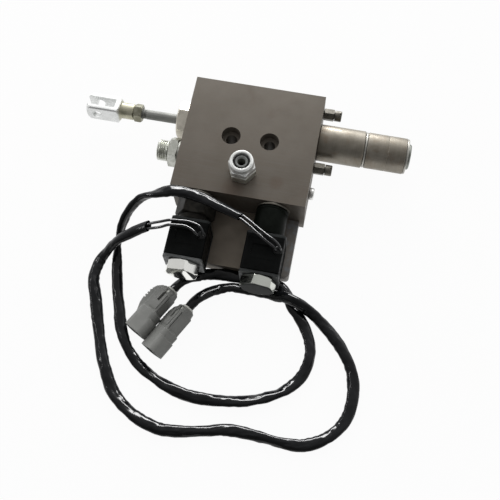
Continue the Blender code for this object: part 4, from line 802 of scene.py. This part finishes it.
def cartridge(side, looks):
    """Body, seat ring and the plunger inside. The left body has a hexagon and the right one a groove."""
    origin = CARTRIDGE_PORT[side]
    body_end = TUBE_START[side]
    stud = body_end + 33.3
    floor = body_end + GAP + 20.5 + GAP + 8.9 + GAP
    flange = 2.2
    rows = [(floor, 0), (floor, 12.6), (body_end, 12.6), (body_end, 7), (-24.7, 7), (-24.7, 17.8),
            (-23.9, 19.4), *thread(-12, -1.5, 19.4, 1.5), (flange, 19.4)]
    if side == "left":
        width = 24
        rows += [*hexagon(flange, flange + 17.4, 27, 1.5), (flange + 17.4, width)]
    else:
        width = 25.2
        rows += [(flange, 24.4), (flange + 0.6, width), (flange + 1.6, width), (flange + 2, 24.6),
                 (flange + 2.6, 24.6), (flange + 3, width)]
    rows += [(body_end - 0.8, width), (body_end, width - 1.6), (body_end, 16), (stud - 2.2, 16),
             (stud - 2.2, 12), *thread(stud - 1.6, stud + 5.8, 12, 1.25), (stud + 6.4, 10.4), (stud + 6.4, 0)]
    lathe(f"cartridge_{side}", looks[f"cartridge_{side}"], "machined_steel", origin, OUT_BELOW, rows,
          turn=math.radians(29), ease=0.3)
    lathe(f"seat_ring_{side}", looks["dull"], "bright_zinc", origin, OUT_BELOW,
          [(GAP, 20), (GAP, 26.4), (1.9, 26.4), (1.9, 20)], closed=True)
    start = body_end + GAP
    rows = [(start - 44, 0), (start - 44, 5.6), (start - 43.6, 6.4), (start, 6.4), (start, 12),
            (start + 20.5, 12), (start + 20.5, 0)]
    lathe(f"plunger_{side}", looks["inside"], "machined_steel", origin, OUT_BELOW, rows, sides=48,
          body=ARMATURES[side])


def coil(side, looks):
    """Moulded coil with rounded edges, a window, a ledge, a bare label field and a potted lead exit."""
    low, high = (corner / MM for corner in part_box(f"coil_{side}"))
    centre = (low + high) / 2
    size = high - low
    x, front = centre.x, high.z
    top = high.y + 2.5
    build = bmesh.new()
    bmesh.ops.create_cube(build, size=1)
    for vert in build.verts:
        vert.co = Vector(vert.co[i] * size[i] + centre[i] for i in range(3)) * MM
    mesh = rounded_mesh(build, lambda a, b: abs(a.y - b.y) > TINY, 2.2, 6)
    lead_exit = (x + 10.8, top - 12.8, front)
    changes = [drill((x, high.y, CARTRIDGE_Z), OUT_BELOW, ((16.6, -1, 30),)),
               drill(lead_exit, -ALONG_Z, ((7.4, -1, 1.2),)),
               box_change((12.6, 8, 2), (x - 2.6, top - 14.2, front + 0.4)),
               box_change((18, 5.6, 1), (x + 1, low.y + 6.4, front + 0.38)),
               box_change((40, 0.5, 1), (x, high.y - 3.4, front + 0.2))]
    for y in (low.y + 2.2, high.y - 6):
        for edge in (low.x, high.x):
            changes.append(box_change((0.8, 1.0, 18), (edge, y, centre.z - 1)))
    show(f"coil_{side}", carve(mesh, changes, bevel=0.35), looks["coil"])
    rows = [(-0.9, 0), (-0.9, 6.9), (0.1, 6.9), (0.6, 6.0), (0.9, 4.4), (1.0, 0)]
    lathe(f"lead_potting_{side}", looks["potting"], "black_plastic", lead_exit, ALONG_Z, rows, extra=True,
          sides=48, ease=0.3)


def arc(centre, radius, start, end, steps=8):
    points = []
    for i in range(steps + 1):
        angle = math.radians(start + (end - start) * i / steps)
        points.append((centre[0] + radius * math.cos(angle), centre[1] + radius * math.sin(angle)))
    return points


def yoke(side, looks):
    """Bent steel frame behind the coil, open to the front."""
    low, high = (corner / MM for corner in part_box(f"yoke_{side}"))
    sheet, bend, inner = 2.2, 3.0, 0.8
    upper, lower = (high.y - bend, low.z + bend), (low.y + bend, low.z + bend)
    outline = [(high.y, high.z), *arc(upper, bend, 0, -90), *arc(lower, bend, -90, -180), (low.y, high.z),
               (low.y + sheet, high.z), *arc(lower, inner, 180, 270), *arc(upper, inner, -90, 0),
               (high.y - sheet, high.z)]
    build = bmesh.new()
    build.from_mesh(mesh_from([[Vector((x, y, z)) for y, z in outline] for x in (low.x, high.x)]))

    def on_lip(a, b):
        return all(abs(end.z - high.z * MM) < TINY for end in (a, b)) and abs(a.x - b.x) < TINY

    hole = drill((CARTRIDGE_X[side], high.y, CARTRIDGE_Z), OUT_BELOW, ((16.6, -1, 35),))
    shape = carve(rounded_mesh(build, on_lip, 3.5, 6), [hole], bevel=0.2)
    show(f"yoke_{side}", shape, looks[f"yoke_{side}"])


def coil_nut(side, looks):
    start = TUBE_START[side] + 33.6
    end = start + 8.6
    over = corners_of(24)
    rows = [(start + 7.4, 0), (start + 7.4, 12.6), (start, 12.6), (start, 23.3, 24), (start + 0.8, over, 24),
            (end - 1, over, 24), (end - 0.1, 23.2, 24), (end, 22.4, 24), (end, 0)]
    lathe(f"coil_nut_{side}", looks[f"nut_{side}"], "bright_zinc", CARTRIDGE_PORT[side],
          OUT_BELOW, rows, turn=math.radians(NUT_TURNS[side]), ease=0.35)


def spring(name, origin, axis, start, end, mean, wire, turns, finish):
    """A round-wire spring as a smooth tube."""
    points = []
    count = turns * 24
    lead = end - start - wire
    for i in range(count + 1):
        share = i / count
        angle = TURN * turns * share
        points.append(Vector((mean / 2 * math.cos(angle), mean / 2 * math.sin(angle),
                              start + wire / 2 + lead * share)))
    mesh = tube_mesh(points, lambda i, angle: wire / 2, 12)
    piece = show(name, mesh, finish, place=place_on(origin, axis))
    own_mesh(piece)


# Leads


WIRE_ROUTES = {
    "left": (
        ((-18.4, -85.6, 41.1), (-18.5, -85.3, 43.4), (-19.6, -82.6, 45.6), (-23.0, -79.8, 46.9),
         (-30.0, -78.4, 47.3), (-37.0, -78.6, 47.1), (-45.0, -79.3, 46.3), (-52.6, -80.9, 43.4),
         (-60.2, -82.3, 39.8), (-65.0, -84.2, 37.0)),
        ((-21.6, -86.6, 41.1), (-21.8, -87.1, 44.0), (-23.2, -86.6, 46.4), (-26.6, -84.4, 47.4),
         (-32.0, -82.4, 47.4), (-38.0, -82.5, 47.2), (-45.0, -83.2, 46.2), (-51.9, -85.2, 43.2),
         (-58.9, -86.0, 39.6), (-64.2, -86.2, 36.8)),
    ),
    "right": (
        ((40.5, -86.4, 41.1), (40.4, -86.1, 43.6), (39.0, -84.2, 45.9), (35.0, -81.4, 47.6),
         (27.8, -78.0, 48.9), (19.0, -73.2, 49.8), (13.0, -69.7, 50.2), (9.1, -67.6, 50.3),
         (6.6, -66.9, 50.2)),
        ((37.2, -87.6, 41.1), (37.1, -87.3, 43.6), (36.0, -86.2, 45.6), (32.8, -84.6, 46.8),
         (27.6, -82.0, 48.0), (20.0, -77.4, 49.2), (13.4, -73.4, 50.0), (8.2, -70.5, 50.3),
         (5.8, -69.5, 50.2)),
    ),
}
SLEEVE_ROUTES = {  # points on the ground leave out their height
    "left": (
        (-62.0, -84.2, 38.3), (-68.3, -86.3, 34.6), (-76.4, -89.6, 29.2), (-84.1, -92.9, 23.6),
        (-90.6, -96.9, 17.0), (-95.5, -101.6, 10.5), (-99.9, -107.6, 6.0), (-102.0, -117.4),
        (-100.9, -126.2), (-96.4, -137.4), (-91.0, -152.3), (-84.9, -168.3), (-77.6, -185.3),
        (-67.3, -202.8), (-58.8, -211.8), (-51.2, -217.0), (-41.8, -222.0), (-32.9, -225.0),
        (-21.4, -226.9), (-6.4, -225.4), (10.3, -221.7), (24.1, -218.3), (38.4, -217.7), (53.1, -218.6),
        (67.6, -219.6), (81.7, -218.5), (94.2, -212.5), (104.2, -203.5), (110.1, -193.1), (112.2, -181.9),
        (111.6, -169.6), (107.6, -156.3), (99.9, -144.3), (89.9, -133.5), (77.8, -123.7, 5.0),
        (68.5, -118.5, 8.2), (60.9, -116.0, 12.9), (54.5, -114.0, 13.6), (48.5, -112.9, 12.9),
        (42.5, -112.2, 9.6), (37.0, -110.7, 6.4), (30.0, -109.9, 4.5), (20.0, -109.5), (12.0, -109.8),
        (5.3, -110.5), (-2.6, -113.6, 4.6), (-9.0, -117.8, 7.0), (-15.7, -124.5, 9.7),
        (-19.4, -129.6, 10.1), (-21.7, -133.9, 10.1),
    ),
    "right": (
        (7.5, -68.7, 50.3), (-1.0, -66.0, 50.1), (-12.0, -62.6, 50.0), (-24.0, -59.0, 50.0),
        (-34.3, -57.2, 50.0), (-43.1, -56.7, 49.5), (-52.1, -57.2, 47.6), (-62.4, -59.4, 43.2),
        (-73.6, -62.2, 36.0), (-81.8, -69.9, 28.0), (-86.9, -78.7, 18.5), (-88.8, -88.4, 10.5),
        (-88.4, -99.1, 5.4), (-85.9, -111.1), (-81.0, -128.1), (-75.8, -143.1), (-70.5, -157.8),
        (-63.1, -170.3), (-53.2, -180.6), (-41.2, -188.4), (-25.3, -195.1), (-9.6, -198.7), (5.3, -199.1),
        (19.7, -197.7), (33.9, -195.0), (47.5, -190.0), (59.4, -183.3), (68.2, -174.8), (73.8, -165.1),
        (75.7, -154.2), (74.4, -143.9), (69.8, -134.0), (62.9, -124.4), (56.4, -117.5), (52.8, -112.3),
        (47.5, -105.4), (41.5, -101.8), (34.0, -100.9), (22.0, -100.9), (8.0, -100.9), (-5.0, -101.4),
        (-17.1, -104.1), (-24.6, -108.1, 5.3), (-30.2, -112.4, 8.1), (-33.9, -116.6, 8.75),
        (-37.0, -121.6, 8.75),
    ),
}
CONNECTOR_HEADING = {"left": math.radians(-118), "right": math.radians(-119)}
CONNECTOR_ROLL = {"left": math.radians(45), "right": math.radians(14)}
WIRE, WIRE_STEP, WIRE_SIDES = 2.2, 1.2, 16
SLEEVE, SLEEVE_STEP, SLEEVE_SIDES = 8.0, 1.5, 28
SLEEVE_FLATTENED = 0.92  # a flattened sleeve's mean width as a share of its diameter
LAID_HEIGHT = 4.3  # of a sleeve's middle on the ground
GROUND_GAP = 0.25  # between a sleeve's underside and the ground
CURVE_STEPS = 24  # between two points of a route
LEVELLING = 0.15  # how fast a tube's sides turn upright along it
MOUTH_LINING = 4  # rings of a sleeve's open mouth
MOUTH_SLANT = 1.6
LINING_SHARE = 0.86  # of the mouth's radius
WIRE_SEAL_STANDS = 1.4
MOUTH_FLAT = 45.0  # length over which a sleeve's flattened mouth rounds off
MOUTH_TAPER = 16.0  # length over which it reaches its full width
MOUTH_NARROWS = {"left": 0.10, "right": 0.26}  # at a mouth, as a share
SLEEVE_SEED = {"left": 3.7, "right": 11.9}
EDGEWISE = {"left": 0.0, "right": 1.0}  # whether a sleeve stands on edge where it leaves the block
EDGEWISE_PLACE, EDGEWISE_REACH = 105, 38  # along the sleeve


def sleeve_route(side):
    return [point if len(point) == 3 else (*point, LAID_HEIGHT) for point in SLEEVE_ROUTES[side]]


def smooth_path(route, spacing):
    """Evenly spaced points along a smooth curve through the route's points, in millimetres."""
    points = [Vector(point) for point in route]
    ends = [2 * points[0] - points[1], *points, 2 * points[-1] - points[-2]]
    fine = []
    for i in range(len(points) - 1):
        a, b, c, d = ends[i:i + 4]
        for k in range(CURVE_STEPS):
            t = k / CURVE_STEPS
            fine.append(0.5 * (2 * b + (c - a) * t + (2 * a - 5 * b + 4 * c - d) * t ** 2
                               + (3 * b - a - 3 * c + d) * t ** 3))
    fine.append(points[-1])
    reached = [0.0]
    for first, second in zip(fine, fine[1:]):
        reached.append(reached[-1] + (second - first).length)
    count = max(4, round(reached[-1] / spacing))
    chosen = []
    index = 0
    for i in range(count + 1):
        wanted = reached[-1] * i / count
        while index < len(fine) - 2 and reached[index + 1] < wanted:
            index += 1
        share = (wanted - reached[index]) / (reached[index + 1] - reached[index])
        chosen.append(fine[index].lerp(fine[index + 1], min(share, 1.0)))
    return chosen


def square_to(along, vector):
    """The direction of the part of a vector that stands square to another direction."""
    return (vector - along * vector.dot(along)).normalized()


def directions(points):
    made = []
    for i in range(len(points)):
        made.append((points[min(i + 1, len(points) - 1)] - points[max(i - 1, 0)]).normalized())
    return made


def tube_mesh(points, radius, sides, lining=0, slant=0.0, floor=None):
    """A tube through points in millimetres. Radius is a function of the point's number and the angle round
    the tube, which starts upwards. A lining turns the first end into an open mouth of that many rings."""
    along = directions(points)
    rings = []
    first = ALONG_Z if abs(along[0].z) < 0.8 else -OUT_BELOW
    for i, point in enumerate(points):
        first = square_to(along[i], first)
        if i and abs(along[i].z) < 0.7:
            first = first.lerp(square_to(along[i], ALONG_Z), LEVELLING).normalized()
        second = along[i].cross(first)
        ring = []
        for k in range(sides):
            angle = TURN * k / sides
            reach = radius(i, angle)
            place = point + (first * math.cos(angle) + second * math.sin(angle)) * reach
            if i == 0:
                place += along[i] * slant * math.cos(angle + 0.8)
            if floor is not None and place.z < floor:
                place.z = floor
            ring.append(place)
        rings.append(ring)
    if lining:
        inner = []
        for i in range(lining, -1, -1):
            inner.append([points[i] + (place - points[i]) * LINING_SHARE for place in rings[i]])
        rings = inner + rings
    mesh = mesh_from(rings)
    smooth_faces(mesh, TUBE_SMOOTH_ANGLE)
    return mesh


def path_length(points):
    return sum((second - first).length for first, second in zip(points, points[1:]))


def bend_of(points, i, reach=4):
    """How sharply the path turns at a point, and to which side in plan: a vector towards the inside."""
    low, high = max(i - reach, 0), min(i + reach, len(points) - 1)
    before = (points[i] - points[low]).normalized() if i > low else Vector((0, 0, 0))
    after = (points[high] - points[i]).normalized() if high > i else Vector((0, 0, 0))
    return after - before


def sleeve_shape(points, seed, half, narrows, edgewise):
    """Radius of a thin flattened sleeve: it twists slowly, its edges ruffle, and it folds inside its bends.
    Near its mouth it lies flat and narrows by a share."""
    along = directions(points)
    bends = [bend_of(points, i) for i in range(len(points))]
    spacing = path_length(points) / (len(points) - 1)

    def wander(*place):
        return noise.noise(Vector(place))

    def radius(i, angle):
        s = i * spacing
        mouth = max(0.0, 1 - s / MOUTH_FLAT)
        on_edge = edgewise * math.exp(-((s - EDGEWISE_PLACE) / EDGEWISE_REACH) ** 4)
        twist = 1.3 * wander(s / 42, seed, 0.3) + 0.35 * wander(s / 9, seed, 5.1)
        twist = twist * (1 - on_edge) + on_edge * TURN / 4
        flat = 0.20 + 0.14 * wander(s / 24, seed, 9.7)
        wide = half * (1 + 0.12 * wander(s / 30, seed, 2.2))
        facing = angle - math.pi / 2 - twist * (1 - mouth)
        flat += 0.12 * on_edge
        value = wide * (1 - 0.06 * on_edge + flat * math.cos(2 * facing) + 0.035 * math.cos(4 * facing))
        value *= 1 - narrows * max(0.0, 1 - s / MOUTH_TAPER)
        outward = ALONG_Z * math.cos(angle) + along[i].cross(ALONG_Z) * math.sin(angle)
        inside = max(0.0, outward.dot(bends[i])) * 5
        fold = math.sin(TURN * s / 5.3 + 2 * wander(s / 11, seed, 1.0))
        value -= 0.42 * min(inside, 1.6) * (0.5 + 0.5 * fold)
        ruffle = wander(s / 3.2, 1.7 * math.cos(angle) + seed, 1.7 * math.sin(angle))
        wound = angle + s / 18
        crease = wander(s / 6.5, 2.6 * math.cos(wound) + seed, 2.6 * math.sin(wound))
        value += (0.20 * ruffle + 0.34 * crease) * (1 - 0.7 * mouth)
        near_end = min(1.0, (len(points) - 1 - i) * spacing / 6)
        return half * (1 - near_end) + value * near_end

    return radius


def lead(side, looks):
    """Two bare wires out of the coil and one sleeve over both, down to the connector. Returns all three."""
    made = []
    sleeve_points = smooth_path(sleeve_route(side), SLEEVE_STEP)
    for number, route in enumerate(WIRE_ROUTES[side], 1):
        points = smooth_path(route, WIRE_STEP)
        mesh = tube_mesh(points, lambda i, angle: WIRE / 2, WIRE_SIDES)
        wire = show(f"wire_{side}_{number}", mesh, looks["wire"])
        made.append(wire)
    half = SLEEVE / 2 * SLEEVE_FLATTENED
    radius = sleeve_shape(sleeve_points, SLEEVE_SEED[side], half, MOUTH_NARROWS[side], EDGEWISE[side])
    mesh = tube_mesh(sleeve_points, radius, SLEEVE_SIDES, MOUTH_LINING, MOUTH_SLANT, GROUND_GAP)
    sleeve = show(f"sleeve_{side}", mesh, looks["sleeve"])
    pieces = connector(side, looks)
    return [*made, sleeve]


def connector_place(side):
    """Local Z runs from the cable to the mouth. The origin is the rear face. Local Y would be up, but the
    connector lies rolled over about its length."""
    last = Vector(sleeve_route(side)[-1])
    heading = Vector((math.cos(CONNECTOR_HEADING[side]), math.sin(CONNECTOR_HEADING[side]), 0))
    origin = last + heading * (GAP + WIRE_SEAL_STANDS)
    upright = turned_to(ALONG_Z.cross(heading), ALONG_Z, heading, origin * MM)
    return upright @ Matrix.Rotation(CONNECTOR_ROLL[side], 4, "Z")


def loft(sections):
    """A lofted shape through rounded rectangles. Each section is (along, width, height, radius), and may end
    with a shift to the side and upwards."""
    rings = []
    for along, width, height, radius, *shift in sections:
        aside, up = shift or (0, 0)
        outline = rounded_rectangle(width, height, radius)
        rings.append([Vector((u + aside, w + up, along)) for u, w in outline])
    return mesh_from(rings)


def connector_shell():
    """Rear collar, body and open shroud, with a notched wing on one flank, a lug and grooves on the other."""
    body = loft([(4.3, 10, 10, 4.9), (0, 10, 10, 4.9), (0, 11.4, 10.6, 4.4, -0.6, 0),
                 (0.8, 12.2, 11.6, 3.6, -0.65, 0), (4.4, 12.2, 11.8, 2.2, -0.7, 0),
                 (5.0, 13.4, 13, 1.2, -1.3, 0), (21.4, 13.4, 13, 1.2, -1.3, 0),
                 (22.6, 16.9, 15.2, 4.2, -0.8, 0), (28.1, 16.9, 15.2, 4.6, -0.8, 0), (28.6, 18.5, 15.2, 4.6),
                 (42, 18.5, 15.2, 4.6), (42, 15.3, 12, 3.0), (30, 15.3, 12, 3.0),
                 (30, 14.0, 12, 3.0, -0.6, 0), (27, 14.0, 12, 3.0, -0.6, 0)])
    wing = loft([(0.6, 2.4, 5, 1.0, -7.0, 0.6), (4, 6.4, 7.6, 1.8, -8.4, 0.6), (9, 8.4, 8.6, 2.0, -9.2, 0.6),
                 (17, 8.6, 8.6, 2.0, -9.5, 0.6), (22, 7.2, 7.6, 1.8, -9.5, 0.6), (28, 3.6, 5, 1.2, -9.1, 0.6),
                 (33, 1.2, 4, 0.5, -8.8, 0.6)])
    notches = [box_change((2.8, 5.0, 1.2), (-13.0, 3.6, 8.4 + 2.6 * k)) for k in range(4)]
    lug = box_change((0.9, 9.4, 0.9), (5.3, -0.4, 21.2), operation="UNION")
    grooves = [box_change((1.4, 1.0, 15.2), (5.2, 4.9, 13.0)), box_change((5.8, 4.4, 2.0), (1.7, 7.0, 2.3)),
               box_change((2.3, 4.2, 9.8), (0.3, 6.6, 8.0))]
    return carve(body, [("UNION", wing, None), *notches, lug, *grooves], bevel=0.25)


def connector(side, looks):
    """Two-way sealed connector with its wire seal, latch plate and terminals."""
    place = connector_place(side)
    shell = show(f"connector_{side}", connector_shell(), looks["connector"], place=place)
    rows = [(-1.4, 0), (-1.4, 8.8), (-1.0, 9.6), (-0.5, 9.8), (0, 9.4), (0.5, 9.4), (1.0, 9.0), (4, 9.2),
            (4, 0)]
    seal = show(f"wire_seal_{side}", lathe_mesh(rows, sides=48, ease=0.2), looks["seal"],
                place=place)
    plate = loft([(5.4, 6.6, 0.6, 0.2, 0.3, 6.7), (6.2, 7.0, 0.9, 0.3, 0.3, 6.9),
                  (18.5, 7.0, 0.9, 0.3, 0.3, 6.9), (20.0, 6.4, 0.5, 0.2, 0.3, 6.6)])
    plate = carve(plate, [box_change((2.3, 3, 9.8), (0.3, 6.8, 8.0))], bevel=0.12)
    latch = show(f"latch_{side}", plate, looks["connector"], place=place)
    pieces = [shell, seal, latch]
    for number, across in enumerate((-2.6, 2.6), 1):
        pin = loft([(27.3, 1.5, 1.0, 0.2, across, 0), (34.4, 1.5, 1.0, 0.2, across, 0),
                    (35.3, 0.8, 0.5, 0.15, across, 0)])
        smooth_faces(pin)
        pieces.append(show(f"terminal_{side}_{number}", pin, looks["contact"], place=place))
    return pieces


# Stage


def emptied(data):
    """The wiring of a material or a world whose nodes have been cleared."""
    data.use_nodes = True
    data.node_tree.nodes.clear()
    return Wiring(data.node_tree)


def floor_finish():
    """White floor that keeps a faint shadow."""
    made = bpy.data.materials.new("floor")
    look = emptied(made)
    rays = look.tree.nodes.new("ShaderNodeLightPath").outputs
    seen = look.sum("MAXIMUM", rays["Is Camera Ray"], rays["Is Glossy Ray"])
    seen = look.sum("MAXIMUM", seen, rays["Is Transmission Ray"])
    plain = look.made("ShaderNodeBsdfDiffuse", "BSDF", {"Color": FLOOR_GREY})
    glow = look.made("ShaderNodeEmission", "Emission", {})
    look.surface("ShaderNodeOutputMaterial", look.sum("MULTIPLY", seen, FLOOR_GLOW), plain, glow)
    return made


def sky():
    """Soft sky that is whitest at the horizon and brighter behind the part. The camera sees plain white."""
    world = bpy.data.worlds.new("sky")
    bpy.context.scene.world = world
    look = emptied(world)
    y, z = look.axes(look.made("ShaderNodeTexCoord", "Generated", {}))[1:]
    up = look.sum("MULTIPLY", look.sum("ADD", z, 1.0), 0.5)
    tone = look.made("ShaderNodeValToRGB", "Color", {"Fac": up})
    elements = tone.node.color_ramp.elements
    elements.new(SKY_TONES[1][0])
    for element, (position, colour) in zip(elements, SKY_TONES):
        element.position = position
        element.color = (*colour, 1)
    strength = look.sum("ADD", look.between(y, *SKY_SIDE), look.between(y, *SKY_GLOW))
    lit = look.made("ShaderNodeBackground", "Background", {"Color": tone, "Strength": strength})
    white = look.made("ShaderNodeBackground", "Background", {"Color": (1, 1, 1, 1)})
    seen = look.made("ShaderNodeLightPath", "Is Camera Ray", {})
    look.surface("ShaderNodeOutputWorld", seen, lit, white)


def stage():
    """Floor, sky, a wide lamp low behind the top of the block and a narrow one at its left."""
    floor = linked("floor", box_mesh(FLOOR_SIZE, (0, 0, -FLOOR_DROP - FLOOR_SIZE[2] / 2)))
    floor.data.materials.append(floor_finish())
    sky()
    area_lamp("key", KEY_LAMP)
    area_lamp("side", SIDE_LAMP)


def area_lamp(name, lamp):
    """A flat lamp that faces the middle of the part."""
    light = bpy.data.lights.new(name, "AREA")
    light.shape = "RECTANGLE"
    light.size, light.size_y = lamp.size
    light.energy = lamp.power
    made = linked(name, light)
    made.location = lamp.place
    aim = LAMP_AIM - made.location
    made.rotation_mode = "QUATERNION"
    made.rotation_quaternion = aim.to_track_quat("-Z", "Y")
    return made


def lead_gloss(pieces):
    """A broad lamp that reaches the black vinyl alone, so that its creases shine."""
    group = bpy.data.collections.new("leads")
    for piece in pieces:
        group.objects.link(piece)
    area_lamp("gloss", GLOSS_LAMP).light_linking.receiver_collection = group


def camera():
    data = bpy.data.cameras.new("camera")
    data.lens = CAMERA_LENS
    data.sensor_width = CAMERA_SENSOR
    made = linked("camera", data)
    back = -Vector(CAMERA_LOOK).normalized()
    right = Vector(CAMERA_UP).cross(back).normalized()
    made.matrix_world = turned_to(right, back.cross(right), back, CAMERA_PLACE)
    bpy.context.scene.camera = made


def finishes():
    return {
        "block": block_steel(),
        "rod": long_brushed("rod_steel", (0.23, 0.233, 0.217), (0.30, 0.302, 0.284), 0.6, 0.45),
        "clevis": clevis_zinc(),
        "olive": metal("olive_zinc", (0.17, 0.165, 0.12), (0.30, 0.295, 0.23), 0.32, blotch=200),
        "gland": metal("gland_zinc", (0.60, 0.56, 0.48), (0.80, 0.75, 0.66), 0.42, 0.75, blotch=150),
        "rubber": rubber("black_rubber", (0.018, 0.018, 0.019)),
        "dark_rubber": rubber("ring_rubber", (0.004, 0.004, 0.0045)),
        "cap": metal("cap_steel", (0.20, 0.182, 0.150), (0.27, 0.248, 0.210), 0.42,
                     stain=(0.19, 0.145, 0.105)),
        "bright": metal("bright_zinc", (0.55, 0.55, 0.53), (0.80, 0.80, 0.78), 0.26, blotch=240),
        "dull": metal("dull_zinc", (0.100, 0.095, 0.081), (0.175, 0.165, 0.142), 0.36, blotch=260),
        "dark_plug": metal("plug_steel", (0.16, 0.17, 0.15), (0.28, 0.29, 0.27), 0.34, blotch=200),
        "fitting": metal("fitting_zinc", (0.48, 0.49, 0.44), (0.70, 0.71, 0.66), 0.32, blotch=220),
        # The adapter's nose end carries a painted dull reflection.
        "adapter": metal("adapter_zinc", (0.48, 0.49, 0.44), (0.70, 0.71, 0.66), 0.32, blotch=220,
                         end=(0.0174,), painted_reflection_tone=(0.22, 0.23, 0.22)),
        "ring": metal("ring_steel", (0.34, 0.33, 0.30), (0.48, 0.47, 0.43), 0.34, blotch=240),
        "swivel": metal("swivel_zinc", (0.66, 0.67, 0.65), (0.84, 0.85, 0.83), 0.36, 0.7, blotch=260,
                        strength=0.06),
        "inside": metal("inside_steel", (0.36, 0.36, 0.35), (0.50, 0.50, 0.48), 0.34),
        "cartridge_left": metal("cartridge_zinc", (0.008, 0.0076, 0.0062), (0.024, 0.022, 0.018), 0.5, 0.3,
                                blotch=160, lines=900, gloss=0.15),
        "cartridge_right": metal("cartridge_olive", (0.0025, 0.0036, 0.0025), (0.005, 0.0065, 0.005), 0.4,
                                 0.1, blotch=160, gloss=0.05),
        "yoke_left": yoke_steel("yoke_worn", "left", 0.9),
        "yoke_right": yoke_steel("yoke_black", "right", 0.1),
        "coil": moulded("coil_plastic", (0.0022, 0.0026, 0.0025), (0.0044, 0.005, 0.0048), 0.42,
                        scuff=(0.006, 0.0065, 0.0065), gloss=0.04),
        "potting": moulded("lead_potting", (0.004, 0.0045, 0.0045), (0.008, 0.0085, 0.0085), 0.3, grain=800,
                           gloss=0.2),
        # The nuts' end faces carry a painted dark reflection: a wedge on the left nut, the whole face on the
        # right one.
        "nut_left": metal("nut_zinc", (0.90, 0.90, 0.85), (0.96, 0.96, 0.92), 0.1, 1.0, blotch=40,
                          strength=0.02, end=(0.0660, -0.0075, 0.251)),
        "nut_right": metal("nut_green_zinc", (0.54, 0.56, 0.51), (0.62, 0.64, 0.59), 0.12, 1.0, blotch=40,
                           strength=0.02, end=(0.0667,)),
        "connector": moulded("connector_grey", (0.200, 0.203, 0.192), (0.245, 0.248, 0.235), 0.45,
                             strength=0.3, scuff=(0.42, 0.42, 0.40), gloss=0.35),
        "seal": rubber("wire_seal", (0.66, 0.67, 0.62), 0.5),
        "contact": metal("contact_tin", (0.50, 0.48, 0.42), (0.66, 0.64, 0.56), 0.28),
        "wire": vinyl("wire_vinyl", 0.09, 0.7),
        "sleeve": vinyl("sleeve_vinyl", 0.11, 0.25),
    }


def build():
    camera()
    stage()
    looks = finishes()
    leads = []
    for side in CARTRIDGE_X:
        leads += lead(side, looks)
    lead_gloss(leads)
    valve_block(looks["block"])
    rod(looks)
    clevis(looks)
    rod_nut_and_seat(looks)
    gland(looks)
    spring_cap(looks)
    side_hose_fitting(looks)
    right_face(looks)
    front_hose_fitting(looks)
    spring("return_spring", CAP_FOOT, ALONG_X, -6.4, 27.7, 17.6, 2.6, 5, looks["inside"])
    for side in CARTRIDGE_X:
        cartridge(side, looks)
        coil(side, looks)
        yoke(side, looks)
        coil_nut(side, looks)
        start = TUBE_START[side] + 21.4
        spring(f"plunger_spring_{side}", CARTRIDGE_PORT[side], OUT_BELOW,
               start, start + 8.6, 8.6, 1.2, 4, looks["inside"])
    port_seals(looks["rubber"])


build()
bpy.context.scene.view_settings.view_transform = "Standard"
